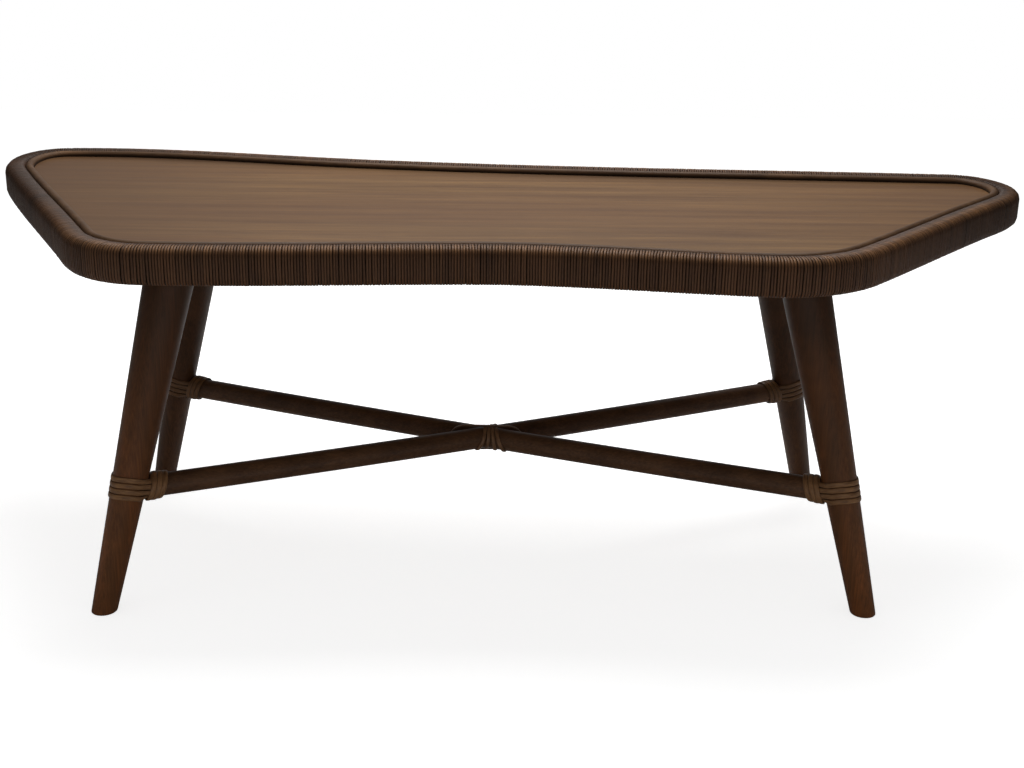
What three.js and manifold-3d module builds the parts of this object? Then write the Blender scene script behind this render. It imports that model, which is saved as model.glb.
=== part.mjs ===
// A low table with a free-form top in a wound rim, on four splayed legs tied by two crossed poles.
// Millimetres, +Z up, +X to the right and +Y to the back of the table.
import * as THREE from 'three';
import { mergeVertices } from 'three/addons/utils/BufferGeometryUtils.js';
import Module from 'manifold-3d';

const wasm = await Module();
wasm.setup();

// Clearances that pieces share
const fit_gap = 0.3;
const cut_overrun = 6;
const weld_distance = 0.0005;

// Table top: overall size, and the rim's wound section
const table_height = 457;
const top_length = 1419;
const top_depth = 648;
const rim_width = 29;
const rim_height = 46;
const rim_outer_round = 11;
const rim_inner_top_round = 7;
const rim_inner_bottom_round = 5;
const winding_thickness = 3.3;
const bead_width = 10.5;
const bead_height = 7.7;
const bead_drop = 0.3;
const veneer_thickness = 1;
const panel_thickness = 19;

// Outline of the top, clockwise from the back left corner: places as shares of its length and
// depth from its middle, the heading there in degrees, and the steps of the stretch that follows
const outline_place_shares = [
  { x: -0.45, y: 0.497, heading: 4.9, steps: 7 },
  { x: -0.129, y: 0.392, heading: -8.8, steps: 6 },
  { x: 0.45, y: 0.295, heading: -4.3, steps: 8 },
  { x: 0.5003, y: 0.1364, heading: -94.8, steps: 5 },
  { x: 0.4467, y: -0.0501, heading: -131.4, steps: 3 },
  { x: 0.307, y: -0.4089, heading: -131.3, steps: 5 },
  { x: 0.211, y: -0.5, heading: -184.9, steps: 5 },
  { x: -0.028, y: -0.435, heading: -178.6, steps: 5 },
  { x: -0.294, y: -0.455, heading: -182.8, steps: 6 },
  { x: -0.368, y: -0.335, heading: -245.8, steps: 4 },
  { x: -0.49, y: 0.246, heading: -247.3, steps: 8 },
];

// The four sides of the rim, each as its first outline place and its count of stretches
const rim_sides = [
  { name: 'back', first: 0, stretches: 2 },
  { name: 'right', first: 2, stretches: 4 },
  { name: 'front', first: 6, stretches: 2 },
  { name: 'left', first: 8, stretches: 3 },
];

// Where the feet stand, as shares of the top's length and depth from its middle
const foot_place_shares = [
  { name: 'front_left', side: -1, end: -1, x: -0.3432, y: -0.4413 },
  { name: 'front_right', side: 1, end: -1, x: 0.3136, y: -0.4413 },
  { name: 'rear_left', side: -1, end: 1, x: -0.3502, y: 0.2222 },
  { name: 'rear_right', side: 1, end: 1, x: 0.3206, y: 0.2222 },
];

// How the legs splay and taper
const sideways_splay_degrees = 12.65;
const endways_splay_degrees = 9.2;
const leg_foot_radius = 15.2;
const leg_shoulder_radius = 29.5;
const leg_tenon_radius = 14;
const leg_sides = 24;

// Rails that carry the legs under the top
const rail_width = 70;
const rail_thickness = 24;
const rail_end_length = 30;
const rail_corner_round = 14;
const wedge_width = 22;
const wedge_length = 20;
const wedge_top_thickness = 3.2;
const wedge_tip_thickness = 1;

// Crossed poles between the legs
const pole_height = 151;
const pole_radius = 14;
const pole_tenon_radius = 8;
const pole_tenon_depth = 20;
const pole_sag = 3.5;
const pole_sides = 16;
const pole_steps = 8;

// Flat peel lashings where the poles meet the legs, and thinner ones where the poles cross
const peel_width = 5.6;
const peel_thickness = 1.9;
const lashing_pitch = 7;
const turn_back_round = 3.4;
const turn_back_clearance = 1.6;
const tail_clearance = 1.8;
const pole_lashing_turns = 2;
const leg_loop_steps = 16;
const pole_loop_steps = 14;
const cross_peel_width = 4.2;
const cross_peel_thickness = 1.4;
const cross_lashing_pitch = 6.6;
const inner_cross_turns = 4;
const outer_cross_turns = 2;
const outer_cross_pitch = 5;
const cross_layer_gap = 0.5;
const inner_cross_loop_steps = 16;
const outer_cross_loop_steps = 20;
const least_lashing_gap = 0.4;

// Cleats that hold the panel in the rim, and wood screws
const cleat_length = 40;
const cleat_width = 16;
const cleat_height = 14;
const screw_shank_radius = 2.1;
const screw_head_radius = 4.2;
const screw_head_height = 2.6;
const screw_tip_length = 3;
const screw_sides = 8;
const panel_screw_grip = 12;
const core_screw_grip = 15;
const rail_screw_spacing = 70;

// Outline place and stretch of each cleat, as a step within the stretch
const cleat_places = [
  { name: 'back_left', stretch: 0, step: 4 },
  { name: 'back_right', stretch: 1, step: 3 },
  { name: 'right', stretch: 4, step: 0 },
  { name: 'front_right', stretch: 6, step: 3 },
  { name: 'front_left', stretch: 7, step: 2 },
  { name: 'left', stretch: 9, step: 1 },
];

// Heights that follow from the sizes above
const rim_bottom = table_height - rim_height;
const bead_top = table_height - bead_drop;
const veneer_top = bead_top - bead_height;
const panel_top = veneer_top - veneer_thickness;
const panel_bottom = panel_top - panel_thickness;
const rail_bottom = panel_bottom - rail_thickness;
const inner_edge_inset = rim_width + fit_gap;
const bead_inner_inset = inner_edge_inset + bead_width;

// Materials
function wood(colour, roughness) {
  return new THREE.MeshStandardMaterial({ color: colour, roughness, metalness: 0 });
}
const veneer_wood = wood(0x6f5a45, 0.45);
const ply_wood = wood(0x8a6a48, 0.8);
const core_wood = wood(0x9a7a55, 0.8);
const winding_rattan = wood(0x3b291c, 0.6);
const bead_rattan = wood(0x4a382a, 0.5);
const leg_wood = wood(0x3c2316, 0.4);
const rail_wood = wood(0x5a3d28, 0.7);
const wedge_wood = wood(0x7a5a3a, 0.7);
const pole_wood = wood(0x231810, 0.45);
const peel_rattan = wood(0x503c26, 0.55);
const screw_steel = new THREE.MeshStandardMaterial({ color: 0x9a9a98, roughness: 0.4, metalness: 1 });

// The finished table, one named mesh for each piece
const table = new THREE.Group();
table.name = 'table';
function addPiece(name, geometry, material) {
  const mesh = new THREE.Mesh(geometry, material);
  mesh.name = name;
  table.add(mesh);
}

// Closed meshes: shared vertices merged, triangles without area dropped, faces turned outward
function closedGeometry(geometry) {
  const bare = geometry.clone();
  bare.deleteAttribute('normal');
  bare.deleteAttribute('uv');
  const welded = mergeVertices(bare, weld_distance);
  const source = welded.index.array;
  const kept = [];
  let volume = 0;
  const corner = [new THREE.Vector3(), new THREE.Vector3(), new THREE.Vector3()];
  for (let i = 0; i < source.length; i += 3) {
    const [a, b, c] = [source[i], source[i + 1], source[i + 2]];
    if (a === b || b === c || c === a) continue;
    kept.push(a, b, c);
    [a, b, c].forEach((index, k) => corner[k].fromBufferAttribute(welded.attributes.position, index));
    volume += corner[0].dot(corner[1].clone().cross(corner[2]));
  }
  if (volume < 0) kept.reverse();
  welded.setIndex(kept);
  return welded;
}

function solidOf(geometry) {
  const closed = closedGeometry(geometry);
  return new wasm.Manifold(new wasm.Mesh({
    numProp: 3,
    vertProperties: Float32Array.from(closed.attributes.position.array),
    triVerts: Uint32Array.from(closed.index.array),
  }));
}

function geometryOf(solid) {
  const mesh = solid.getMesh();
  const geometry = new THREE.BufferGeometry();
  geometry.setAttribute('position', new THREE.BufferAttribute(mesh.vertProperties, mesh.numProp));
  geometry.setIndex(new THREE.BufferAttribute(mesh.triVerts, 1));
  return geometry;
}

function cutBy(geometry, tools) {
  let solid = solidOf(geometry);
  for (const tool of tools) solid = solid.subtract(solidOf(tool));
  return geometryOf(solid);
}

// A level slab that keeps only what lies between two heights
function slab(bottom, top) {
  const span = 2 * (top_length + top_depth);
  const box = new THREE.BoxGeometry(span, span, top - bottom);
  box.translate(0, 0, (bottom + top) / 2);
  return solidOf(box);
}

// Moves a shape that is made along +Z to a start point and a direction
function aimed(geometry, start, direction) {
  const turn = new THREE.Quaternion().setFromUnitVectors(new THREE.Vector3(0, 0, 1), direction);
  return geometry.applyMatrix4(new THREE.Matrix4().compose(start, turn, new THREE.Vector3(1, 1, 1)));
}

// A turned shape along +Z from a list of radius and height pairs, closed on the axis
function turned(profile, sides) {
  const lathe = new THREE.LatheGeometry(profile.map(([r, h]) => new THREE.Vector2(r, h)), sides);
  return lathe.rotateX(Math.PI / 2);
}

function rod(radius, from, to, sides) {
  return turned([[0, from], [radius, from], [radius, to], [0, to]], sides);
}

// Outline of the top: each stretch is the cubic curve that comes closest to an arc between its headings
function stretchCurve(index) {
  const from = outline_place_shares[index % outline_place_shares.length];
  const to = outline_place_shares[(index + 1) % outline_place_shares.length];
  const start = new THREE.Vector2(from.x * top_length, from.y * top_depth);
  const end = new THREE.Vector2(to.x * top_length, to.y * top_depth);
  const start_heading = THREE.MathUtils.degToRad(from.heading);
  const end_heading = THREE.MathUtils.degToRad(to.heading);
  const raw_turn = Math.abs(end_heading - start_heading) % (2 * Math.PI);
  const turn = Math.min(raw_turn, 2 * Math.PI - raw_turn);
  const handle = start.distanceTo(end) * (2 / 3) * Math.tan(turn / 4) / Math.sin(turn / 2);
  const leave = new THREE.Vector2(Math.cos(start_heading), Math.sin(start_heading));
  const arrive = new THREE.Vector2(Math.cos(end_heading), Math.sin(end_heading));
  return new THREE.CubicBezierCurve(
    start,
    start.clone().addScaledVector(leave, handle),
    end.clone().addScaledVector(arrive, -handle),
    end,
  );
}

// Stations along the outline, each with its point, its forward way and its way in
function stationsOf(first, stretches) {
  const stations = [];
  for (let k = 0; k < stretches; k += 1) {
    const index = (first + k) % outline_place_shares.length;
    const curve = stretchCurve(index);
    const steps = outline_place_shares[index].steps;
    for (let step = k === 0 ? 0 : 1; step <= steps; step += 1) {
      const forward = curve.getTangent(step / steps);
      stations.push({
        point: curve.getPoint(step / steps),
        forward,
        inward: new THREE.Vector2(forward.y, -forward.x),
      });
    }
  }
  return stations;
}

function insetPoint(station, inset) {
  return station.point.clone().addScaledVector(station.inward, inset);
}

// The stations of one side of the rim, drawn back at both ends by half the gap between sides
function sideStations(side) {
  const stations = stationsOf(side.first, side.stretches);
  const last = stations.length - 1;
  stations[0].point.addScaledVector(stations[0].forward, fit_gap / 2);
  stations[last].point.addScaledVector(stations[last].forward, -fit_gap / 2);
  return stations;
}

// A rectangle of inset and height with a round at each corner, grown inward by a wall
function roundedSection(wall) {
  const outer = wall;
  const inner = rim_width - wall;
  const top = table_height - wall;
  const bottom = rim_bottom + wall;
  const corners = [
    { round: rim_outer_round - wall, inset: outer, height: top, out: -1, up: 1 },
    { round: rim_inner_top_round - wall, inset: inner, height: top, out: 1, up: 1 },
    { round: rim_inner_bottom_round - wall, inset: inner, height: bottom, out: 1, up: -1 },
    { round: rim_outer_round - wall, inset: outer, height: bottom, out: -1, up: -1 },
  ];
  const corner_steps = 2;
  const section = [];
  for (const [number, corner] of corners.entries()) {
    for (let step = 0; step <= corner_steps; step += 1) {
      const angle = Math.PI - Math.PI / 2 * (number + step / corner_steps);
      section.push([
        corner.inset + corner.round * (Math.cos(angle) - corner.out),
        corner.height + corner.round * (Math.sin(angle) - corner.up),
      ]);
    }
  }
  return section;
}

// Joins rings of points into a closed skin. Each ring holds one or two loops of equal length.
function skinOf(rings, loop_length, end_faces) {
  const positions = rings.flat().flatMap((point) => [point.x, point.y, point.z]);
  const ring_length = rings[0].length;
  const index = [];
  for (let ring = 0; ring + 1 < rings.length; ring += 1) {
    for (let start = 0; start < ring_length; start += loop_length) {
      for (let k = 0; k < loop_length; k += 1) {
        const a = ring * ring_length + start + k;
        const b = ring * ring_length + start + (k + 1) % loop_length;
        const [c, d] = [a + ring_length, b + ring_length];
        if (start === 0) index.push(a, c, b, b, c, d);
        else index.push(a, b, c, b, d, c);
      }
    }
  }
  const last = (rings.length - 1) * ring_length;
  for (const [a, b, c] of end_faces) index.push(a, b, c, last + c, last + b, last + a);
  const geometry = new THREE.BufferGeometry();
  geometry.setAttribute('position', new THREE.Float32BufferAttribute(positions, 3));
  geometry.setIndex(index);
  return closedGeometry(geometry);
}

function ringOf(station, section) {
  return section.map(([inset, height]) => {
    const place = insetPoint(station, inset);
    return new THREE.Vector3(place.x, place.y, height);
  });
}

// A solid bar along a side of the rim
function barAlong(side, section) {
  const rings = sideStations(side).map((station) => ringOf(station, section));
  const outline = section.map(([inset, height]) => new THREE.Vector2(inset, height));
  const clockwise = THREE.ShapeUtils.isClockWise(outline);
  const ends = THREE.ShapeUtils.triangulateShape(outline, []).map(([a, b, c]) => {
    const same_way = THREE.ShapeUtils.isClockWise([outline[a], outline[b], outline[c]]) === clockwise;
    return same_way ? [a, b, c] : [a, c, b];
  });
  return skinOf(rings, section.length, ends);
}

// A hollow sleeve along a side of the rim, open at both ends
function sleeveAlong(side, outer, inner) {
  const rings = sideStations(side).map((station) => ringOf(station, [...outer, ...inner]));
  const ends = [];
  for (let k = 0; k < outer.length; k += 1) {
    const next = (k + 1) % outer.length;
    ends.push([k, next, outer.length + k]);
    ends.push([next, outer.length + next, outer.length + k]);
  }
  return skinOf(rings, outer.length, ends);
}

// A flat board that fills the outline at an inset
function boardAt(inset, bottom, thickness) {
  const stations = stationsOf(0, outline_place_shares.length).slice(0, -1);
  const shape = new THREE.Shape(stations.map((station) => insetPoint(station, inset)));
  const board = new THREE.ExtrudeGeometry(shape, { depth: thickness, bevelEnabled: false });
  return board.translate(0, 0, bottom);
}

// The bead's section: flat on the panel, round above
function beadSection() {
  const radius = bead_width / 2;
  const middle = inner_edge_inset + radius;
  const arc_steps = 5;
  const section = [[bead_inner_inset, panel_top], [inner_edge_inset, panel_top]];
  for (let step = 0; step <= arc_steps; step += 1) {
    const angle = Math.PI * (1 - step / arc_steps);
    section.push([middle + radius * Math.cos(angle), bead_top - radius + radius * Math.sin(angle)]);
  }
  return section;
}

// A countersunk wood screw along +Z from its head, and the hole that it needs
function screwShape(length, grow) {
  return turned([
    [0, -grow],
    [screw_head_radius + grow, -grow],
    [screw_head_radius + grow, 0],
    [screw_shank_radius + grow, screw_head_height],
    [screw_shank_radius + grow, length - screw_tip_length],
    [0, length + grow],
  ], screw_sides);
}

const up = new THREE.Vector3(0, 0, 1);
const panel_holes = [];
const rim_holes = new Map(rim_sides.map((side) => [side.name, []]));

// Cleats: each sits against a straight step of the rim's inner face and under the panel
const cleat_screw_length = cleat_height + panel_screw_grip;
const rim_screw_length = cleat_width + winding_thickness + core_screw_grip;
for (const place of cleat_places) {
  const stations = stationsOf(place.stretch, 1);
  const near = insetPoint(stations[place.step], inner_edge_inset);
  const far = insetPoint(stations[place.step + 1], inner_edge_inset);
  const along = far.clone().sub(near).normalize();
  const inward = new THREE.Vector2(along.y, -along.x);
  const middle = near.clone().add(far).multiplyScalar(0.5).addScaledVector(inward, cleat_width / 2);
  const centre = new THREE.Vector3(middle.x, middle.y, panel_bottom - cleat_height / 2);
  const turn = new THREE.Matrix4().makeRotationZ(Math.atan2(along.y, along.x)).setPosition(centre);
  const block = new THREE.BoxGeometry(cleat_length, cleat_width, cleat_height).applyMatrix4(turn);
  const side_step = cleat_length / 4;
  const upright = new THREE.Vector3(middle.x, middle.y, panel_bottom - cleat_height)
    .add(new THREE.Vector3(along.x, along.y, 0).multiplyScalar(side_step));
  const outward = new THREE.Vector3(-inward.x, -inward.y, 0);
  const level = centre.clone().addScaledVector(outward, -cleat_width / 2)
    .add(new THREE.Vector3(along.x, along.y, 0).multiplyScalar(-side_step));
  const upright_hole = aimed(screwShape(cleat_screw_length, fit_gap), upright, up);
  const level_hole = aimed(screwShape(rim_screw_length, fit_gap), level, outward);
  addPiece(`cleat_${place.name}`, cutBy(block, [upright_hole, level_hole]), rail_wood);
  const upright_screw = aimed(screwShape(cleat_screw_length, 0), upright, up);
  addPiece(`cleat_panel_screw_${place.name}`, closedGeometry(upright_screw), screw_steel);
  const level_screw = aimed(screwShape(rim_screw_length, 0), level, outward);
  addPiece(`cleat_rim_screw_${place.name}`, closedGeometry(level_screw), screw_steel);
  panel_holes.push(upright_hole);
  const owner = rim_sides.find((side) => {
    const count = outline_place_shares.length;
    return (place.stretch - side.first + count) % count < side.stretches;
  });
  rim_holes.get(owner.name).push(level_hole);
}

// Rim: wooden core, winding and inner bead on each side
const winding_outside = roundedSection(0);
const winding_inside = roundedSection(winding_thickness);
const core_section = roundedSection(winding_thickness + fit_gap);
for (const side of rim_sides) {
  const holes = rim_holes.get(side.name);
  addPiece(`rim_core_${side.name}`, cutBy(barAlong(side, core_section), holes), core_wood);
  const sleeve = sleeveAlong(side, winding_outside, winding_inside);
  addPiece(`rim_winding_${side.name}`, cutBy(sleeve, holes), winding_rattan);
  addPiece(`inner_bead_${side.name}`, barAlong(side, beadSection()), bead_rattan);
}

// Legs: axis, foot point and splay of each
const sideways_splay = Math.tan(THREE.MathUtils.degToRad(sideways_splay_degrees));
const endways_splay = Math.tan(THREE.MathUtils.degToRad(endways_splay_degrees));
const legs = new Map();
for (const place of foot_place_shares) {
  const foot = new THREE.Vector3(place.x * top_length, place.y * top_depth, 0);
  const rise = new THREE.Vector3(-place.side * sideways_splay, -place.end * endways_splay, 1);
  legs.set(place.name, { ...place, foot, rise, axis: rise.clone().normalize(), stretch: rise.length() });
}

// A point on a leg's axis at a height, and the leg's radius there
function axisPoint(leg, height) {
  return leg.foot.clone().addScaledVector(leg.rise, height);
}
const leg_taper = (leg_shoulder_radius - leg_foot_radius) / rail_bottom;
function legRadius(height) {
  return leg_foot_radius + leg_taper * height;
}

function legCone(leg, grow) {
  const low = -cut_overrun;
  const high = rail_bottom + cut_overrun;
  const cone = turned([
    [0, low * leg.stretch],
    [legRadius(low) + grow, low * leg.stretch],
    [legRadius(high) + grow, high * leg.stretch],
    [0, high * leg.stretch],
  ], leg_sides);
  return aimed(cone, leg.foot, leg.axis);
}

function legTenon(leg, grow) {
  const low = rail_bottom - rail_thickness;
  const high = panel_bottom + cut_overrun;
  const tenon = rod(leg_tenon_radius + grow, low * leg.stretch, high * leg.stretch, leg_sides);
  return aimed(tenon, leg.foot, leg.axis);
}

// Poles: each runs between the axes of two opposite legs and is tenoned into both
const pole_places = [
  { name: 'pole_over', from: 'front_left', to: 'rear_right' },
  { name: 'pole_under', from: 'front_right', to: 'rear_left' },
];
function poleRun(place) {
  const start = axisPoint(legs.get(place.from), pole_height);
  const end = axisPoint(legs.get(place.to), pole_height);
  return { start, direction: end.clone().sub(start).normalize(), length: start.distanceTo(end) };
}

// A point on a pole's sagging axis at a length from its start
function poleCentre(run, along) {
  const share = along / run.length;
  const sag = 4 * pole_sag * share * (1 - share);
  return run.start.clone().addScaledVector(run.direction, along).addScaledVector(up, -sag);
}

function poleBody(place, grow) {
  const run = poleRun(place);
  const side = up.clone().cross(run.direction);
  const rings = [];
  for (let step = 0; step <= pole_steps; step += 1) {
    const centre = poleCentre(run, run.length * step / pole_steps);
    const ring = [];
    for (let k = 0; k < pole_sides; k += 1) {
      const angle = 2 * Math.PI * k / pole_sides;
      ring.push(centre.clone()
        .addScaledVector(side, (pole_radius + grow) * Math.cos(angle))
        .addScaledVector(up, (pole_radius + grow) * Math.sin(angle)));
    }
    rings.push(ring);
  }
  const ends = [];
  for (let k = 1; k + 1 < pole_sides; k += 1) ends.push([0, k, k + 1]);
  return skinOf(rings, pole_sides, ends);
}
function poleTenons(place, grow) {
  const run = poleRun(place);
  const reach = legRadius(pole_height) - pole_tenon_depth;
  const tenon = rod(pole_tenon_radius + grow, reach - grow, run.length - reach + grow, pole_sides);
  return aimed(tenon, run.start, run.direction);
}

// The poles cross in a half lap
const [cross_run, other_run] = pole_places.map(poleRun);
const between_starts = other_run.start.clone().sub(cross_run.start);
const cross_along = between_starts.cross(other_run.direction).z
  / cross_run.direction.clone().cross(other_run.direction).z;
const cross_centre = poleCentre(cross_run, cross_along);
const above_lap = slab(cross_centre.z - fit_gap / 2, table_height);
const below_lap = slab(0, cross_centre.z + fit_gap / 2);
const [over, under] = pole_places;
for (const [place, other, cut_side] of [
  [over, under, below_lap],
  [under, over, above_lap],
]) {
  let solid = solidOf(poleBody(place, 0));
  for (const end of [place.from, place.to]) solid = solid.subtract(solidOf(legCone(legs.get(end), fit_gap)));
  solid = solid.add(solidOf(poleTenons(place, 0)));
  solid = solid.subtract(solidOf(poleBody(other, fit_gap)).intersect(cut_side));
  addPiece(place.name, geometryOf(solid), pole_wood);
}

// Wedges that spread the leg tenons
function wedgeShape(leg, grow) {
  const top = wedge_top_thickness / 2 + grow;
  const tip = wedge_tip_thickness / 2 + grow;
  const high = panel_bottom * leg.stretch + cut_overrun;
  const low = panel_bottom * leg.stretch - wedge_length - grow;
  const profile = new THREE.Shape([
    new THREE.Vector2(-tip, low),
    new THREE.Vector2(tip, low),
    new THREE.Vector2(top, high),
    new THREE.Vector2(-top, high),
  ]);
  const width = wedge_width + 2 * grow;
  const wedge = new THREE.ExtrudeGeometry(profile, { depth: width, bevelEnabled: false });
  wedge.translate(0, 0, -width / 2).rotateX(Math.PI / 2);
  return aimed(wedge, leg.foot, leg.axis);
}

// The legs themselves: cone, tenon, mortise for the pole and slot for the wedge
const leg_body_range = slab(0, rail_bottom - fit_gap);
const leg_tenon_range = slab(rail_bottom - rail_thickness, panel_bottom - fit_gap);
for (const leg of legs.values()) {
  const cone = solidOf(legCone(leg, 0)).intersect(leg_body_range);
  const tenon = solidOf(legTenon(leg, 0)).intersect(leg_tenon_range);
  const pole = pole_places.find((place) => place.from === leg.name || place.to === leg.name);
  let solid = cone.add(tenon);
  solid = solid.subtract(solidOf(poleTenons(pole, fit_gap)));
  solid = solid.subtract(solidOf(wedgeShape(leg, fit_gap)));
  addPiece(`leg_${leg.name}`, geometryOf(solid), leg_wood);
  const wedge = solidOf(wedgeShape(leg, 0)).intersect(leg_tenon_range);
  addPiece(`leg_wedge_${leg.name}`, geometryOf(wedge), wedge_wood);
}

// Rails: one on each side, bored for two leg tenons and screwed to the panel
const rail_screw_length = rail_thickness + panel_screw_grip;
for (const [name, side] of [['left', -1], ['right', 1]]) {
  const pair = [...legs.values()].filter((leg) => leg.side === side);
  const ends = pair.map((leg) => axisPoint(leg, (rail_bottom + panel_bottom) / 2));
  const middle = ends[0].clone().add(ends[1]).multiplyScalar(0.5);
  const half_length = Math.abs(ends[1].y - ends[0].y) / 2 + rail_end_length;
  const [x, y, r] = [rail_width / 2, half_length, rail_corner_round];
  const plan = new THREE.Shape();
  plan.absarc(x - r, y - r, r, 0, Math.PI / 2, false);
  plan.absarc(-x + r, y - r, r, Math.PI / 2, Math.PI, false);
  plan.absarc(-x + r, -y + r, r, Math.PI, Math.PI * 1.5, false);
  plan.absarc(x - r, -y + r, r, Math.PI * 1.5, Math.PI * 2, false);
  const rail = new THREE.ExtrudeGeometry(plan, {
    depth: rail_thickness,
    bevelEnabled: false,
    curveSegments: 4,
  });
  rail.translate(middle.x, middle.y, rail_bottom);
  const tools = pair.map((leg) => legTenon(leg, fit_gap));
  for (const [number, place] of [[1, -1], [2, 0], [3, 1]]) {
    const head = new THREE.Vector3(middle.x, middle.y + place * rail_screw_spacing, rail_bottom);
    const hole = aimed(screwShape(rail_screw_length, fit_gap), head, up);
    const screw = aimed(screwShape(rail_screw_length, 0), head, up);
    addPiece(`rail_screw_${name}_${number}`, closedGeometry(screw), screw_steel);
    tools.push(hole);
    panel_holes.push(hole);
  }
  addPiece(`leg_rail_${name}`, cutBy(rail, tools), rail_wood);
}

// Panel, and its veneer within the bead
addPiece('top_panel', cutBy(boardAt(inner_edge_inset, panel_bottom, panel_thickness), panel_holes), ply_wood);
const veneer = boardAt(bead_inner_inset + fit_gap, panel_top, veneer_thickness);
addPiece('top_veneer', closedGeometry(veneer), veneer_wood);

// The least gap between parts of a strip that lie well apart along it, measured on points
function leastGap(rings, width) {
  const point_spacing = 2;
  const ways = [0];
  const samples = [];
  for (let k = 0; k + 1 < rings.length; k += 1) {
    const length = rings[k][0].distanceTo(rings[k + 1][0]);
    const parts = Math.ceil(length / point_spacing);
    for (let part = 0; part < parts; part += 1) {
      const points = rings[k].map((point, i) => point.clone().lerp(rings[k + 1][i], part / parts));
      samples.push({ way: ways[k] + length * part / parts, points });
    }
    ways.push(ways[k] + length);
  }
  const apart = 4 * width;
  let least = Infinity;
  for (let i = 0; i < samples.length; i += 1) {
    for (let j = i + 1; j < samples.length; j += 1) {
      if (samples[j].way - samples[i].way < apart) continue;
      for (const p of samples[i].points) {
        for (const q of samples[j].points) least = Math.min(least, p.distanceTo(q));
      }
    }
  }
  return least;
}

// A flat strip along a path. Each place holds a point and the way that faces out from what it winds on.
function stripAlong(name, places, width, thickness) {
  const edge_share = 0.5;
  const section = [
    [-width / 2, 0],
    [-width / 2 * edge_share, thickness / 2],
    [width / 2 * edge_share, thickness / 2],
    [width / 2, 0],
    [width / 2 * edge_share, -thickness / 2],
    [-width / 2 * edge_share, -thickness / 2],
  ];
  const rings = places.map((place, k) => {
    const before = places[Math.max(k - 1, 0)].point;
    const after = places[Math.min(k + 1, places.length - 1)].point;
    const forward = after.clone().sub(before).normalize();
    const across = forward.clone().cross(place.out).normalize();
    const out = across.clone().cross(forward).normalize();
    return section.map(([a, b]) => place.point.clone().addScaledVector(across, a).addScaledVector(out, b));
  });
  const least = leastGap(rings, width);
  const verdict = least > least_lashing_gap ? 'clear' : 'too close';
  console.log(`${name}: least gap to itself ${least.toFixed(2)} mm, ${verdict}`);
  const ends = [[0, 1, 2], [0, 2, 3], [0, 3, 4], [0, 4, 5]];
  return skinOf(rings, section.length, ends);
}

// A joint of leg and pole is laid out from the point where their axes meet: along the pole away
// from the leg, sideways to the front, and up along the leg
const peel_stand_off = fit_gap + peel_thickness / 2;
const leg_reach_growth = 1 / Math.cos(Math.PI / leg_loop_steps);
const pole_reach = (pole_radius + peel_stand_off) / Math.cos(Math.PI / pole_loop_steps);
function jointOf(leg) {
  const pole = pole_places.find((place) => place.from === leg.name || place.to === leg.name);
  const run = poleRun(pole);
  const at_start = pole.from === leg.name;
  const away = run.direction.clone().multiplyScalar(at_start ? 1 : -1);
  const lean = away.dot(leg.axis);
  const rise = leg.axis.clone().addScaledVector(away, -lean);
  const stretch = 1 / rise.length();
  rise.normalize();
  const front = rise.clone().cross(away);
  if (front.y > 0) front.negate();
  return { leg, run, at_start, away, rise, front, stretch, slope: lean * stretch, places: [] };
}

function jointVector(joint, along, sideways, height) {
  return joint.away.clone().multiplyScalar(along)
    .addScaledVector(joint.front, sideways).addScaledVector(joint.rise, height);
}

// Adds a place on the pole: a length from the leg's slanting side line, and an angle from the front
function putOnPole(joint, length, angle) {
  const height = pole_reach * Math.sin(angle);
  const along = length + joint.slope * height;
  const centre = poleCentre(joint.run, joint.at_start ? along : joint.run.length - along);
  joint.places.push({
    point: centre.add(jointVector(joint, 0, pole_reach * Math.cos(angle), height)),
    out: jointVector(joint, 0, Math.cos(angle), Math.sin(angle)),
  });
}

// Adds the way round the outside of the leg at a height, between the straight runs from two
// places on the pole's flanks. Beside the pole it follows the pole, and it lifts behind the leg, so
// that it lies square to the leg there.
function putRoundLeg(joint, level, from_length, to_length) {
  const radius = legRadius(pole_height) + leg_taper * level * lashing_pitch;
  const centre = axisPoint(joint.leg, pole_height)
    .add(jointVector(joint, joint.slope * level * lashing_pitch, 0, level * lashing_pitch));
  const reach = (radius + peel_stand_off) * leg_reach_growth;
  const flank = pole_reach * Math.cos(flankAngle(level));
  const [start, end] = [from_length, to_length].map((length) => (
    Math.atan2(flank, length) + Math.acos(Math.min(1, reach / Math.hypot(flank, length)))
  ));
  const span = 2 * Math.PI - start - end;
  const steps = Math.ceil(span * leg_loop_steps / (2 * Math.PI));
  for (let step = 0; step <= steps; step += 1) {
    const angle = start + span * step / steps;
    const arm = jointVector(joint, joint.stretch * Math.cos(angle), Math.sin(angle), 0);
    const out = arm.clone().addScaledVector(joint.leg.axis, -arm.dot(joint.leg.axis)).normalize();
    const lift = radius * joint.slope * Math.max(0, -Math.cos(angle));
    const point = centre.clone().addScaledVector(arm, radius * leg_reach_growth)
      .addScaledVector(out, peel_stand_off * leg_reach_growth).addScaledVector(joint.leg.axis, lift);
    joint.places.push({ point, out });
  }
}

// The angle on the pole's front flank of a turn that lies a number of pitches above the axis
function flankAngle(level) {
  return level * lashing_pitch / (pole_radius + peel_stand_off);
}

// Adds a rounded turn between the run along a flank and the way round the pole
function putCorner(joint, length, angle, way, leaving) {
  const corner_steps = 2;
  for (let step = 0; step <= corner_steps; step += 1) {
    const turn = Math.PI / 2 * (leaving ? step : corner_steps - step) / corner_steps;
    const drop = turn_back_round * (1 - Math.cos(turn)) / pole_reach;
    putOnPole(joint, length - turn_back_round * (1 - Math.sin(turn)), angle + way * drop);
  }
}

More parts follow.
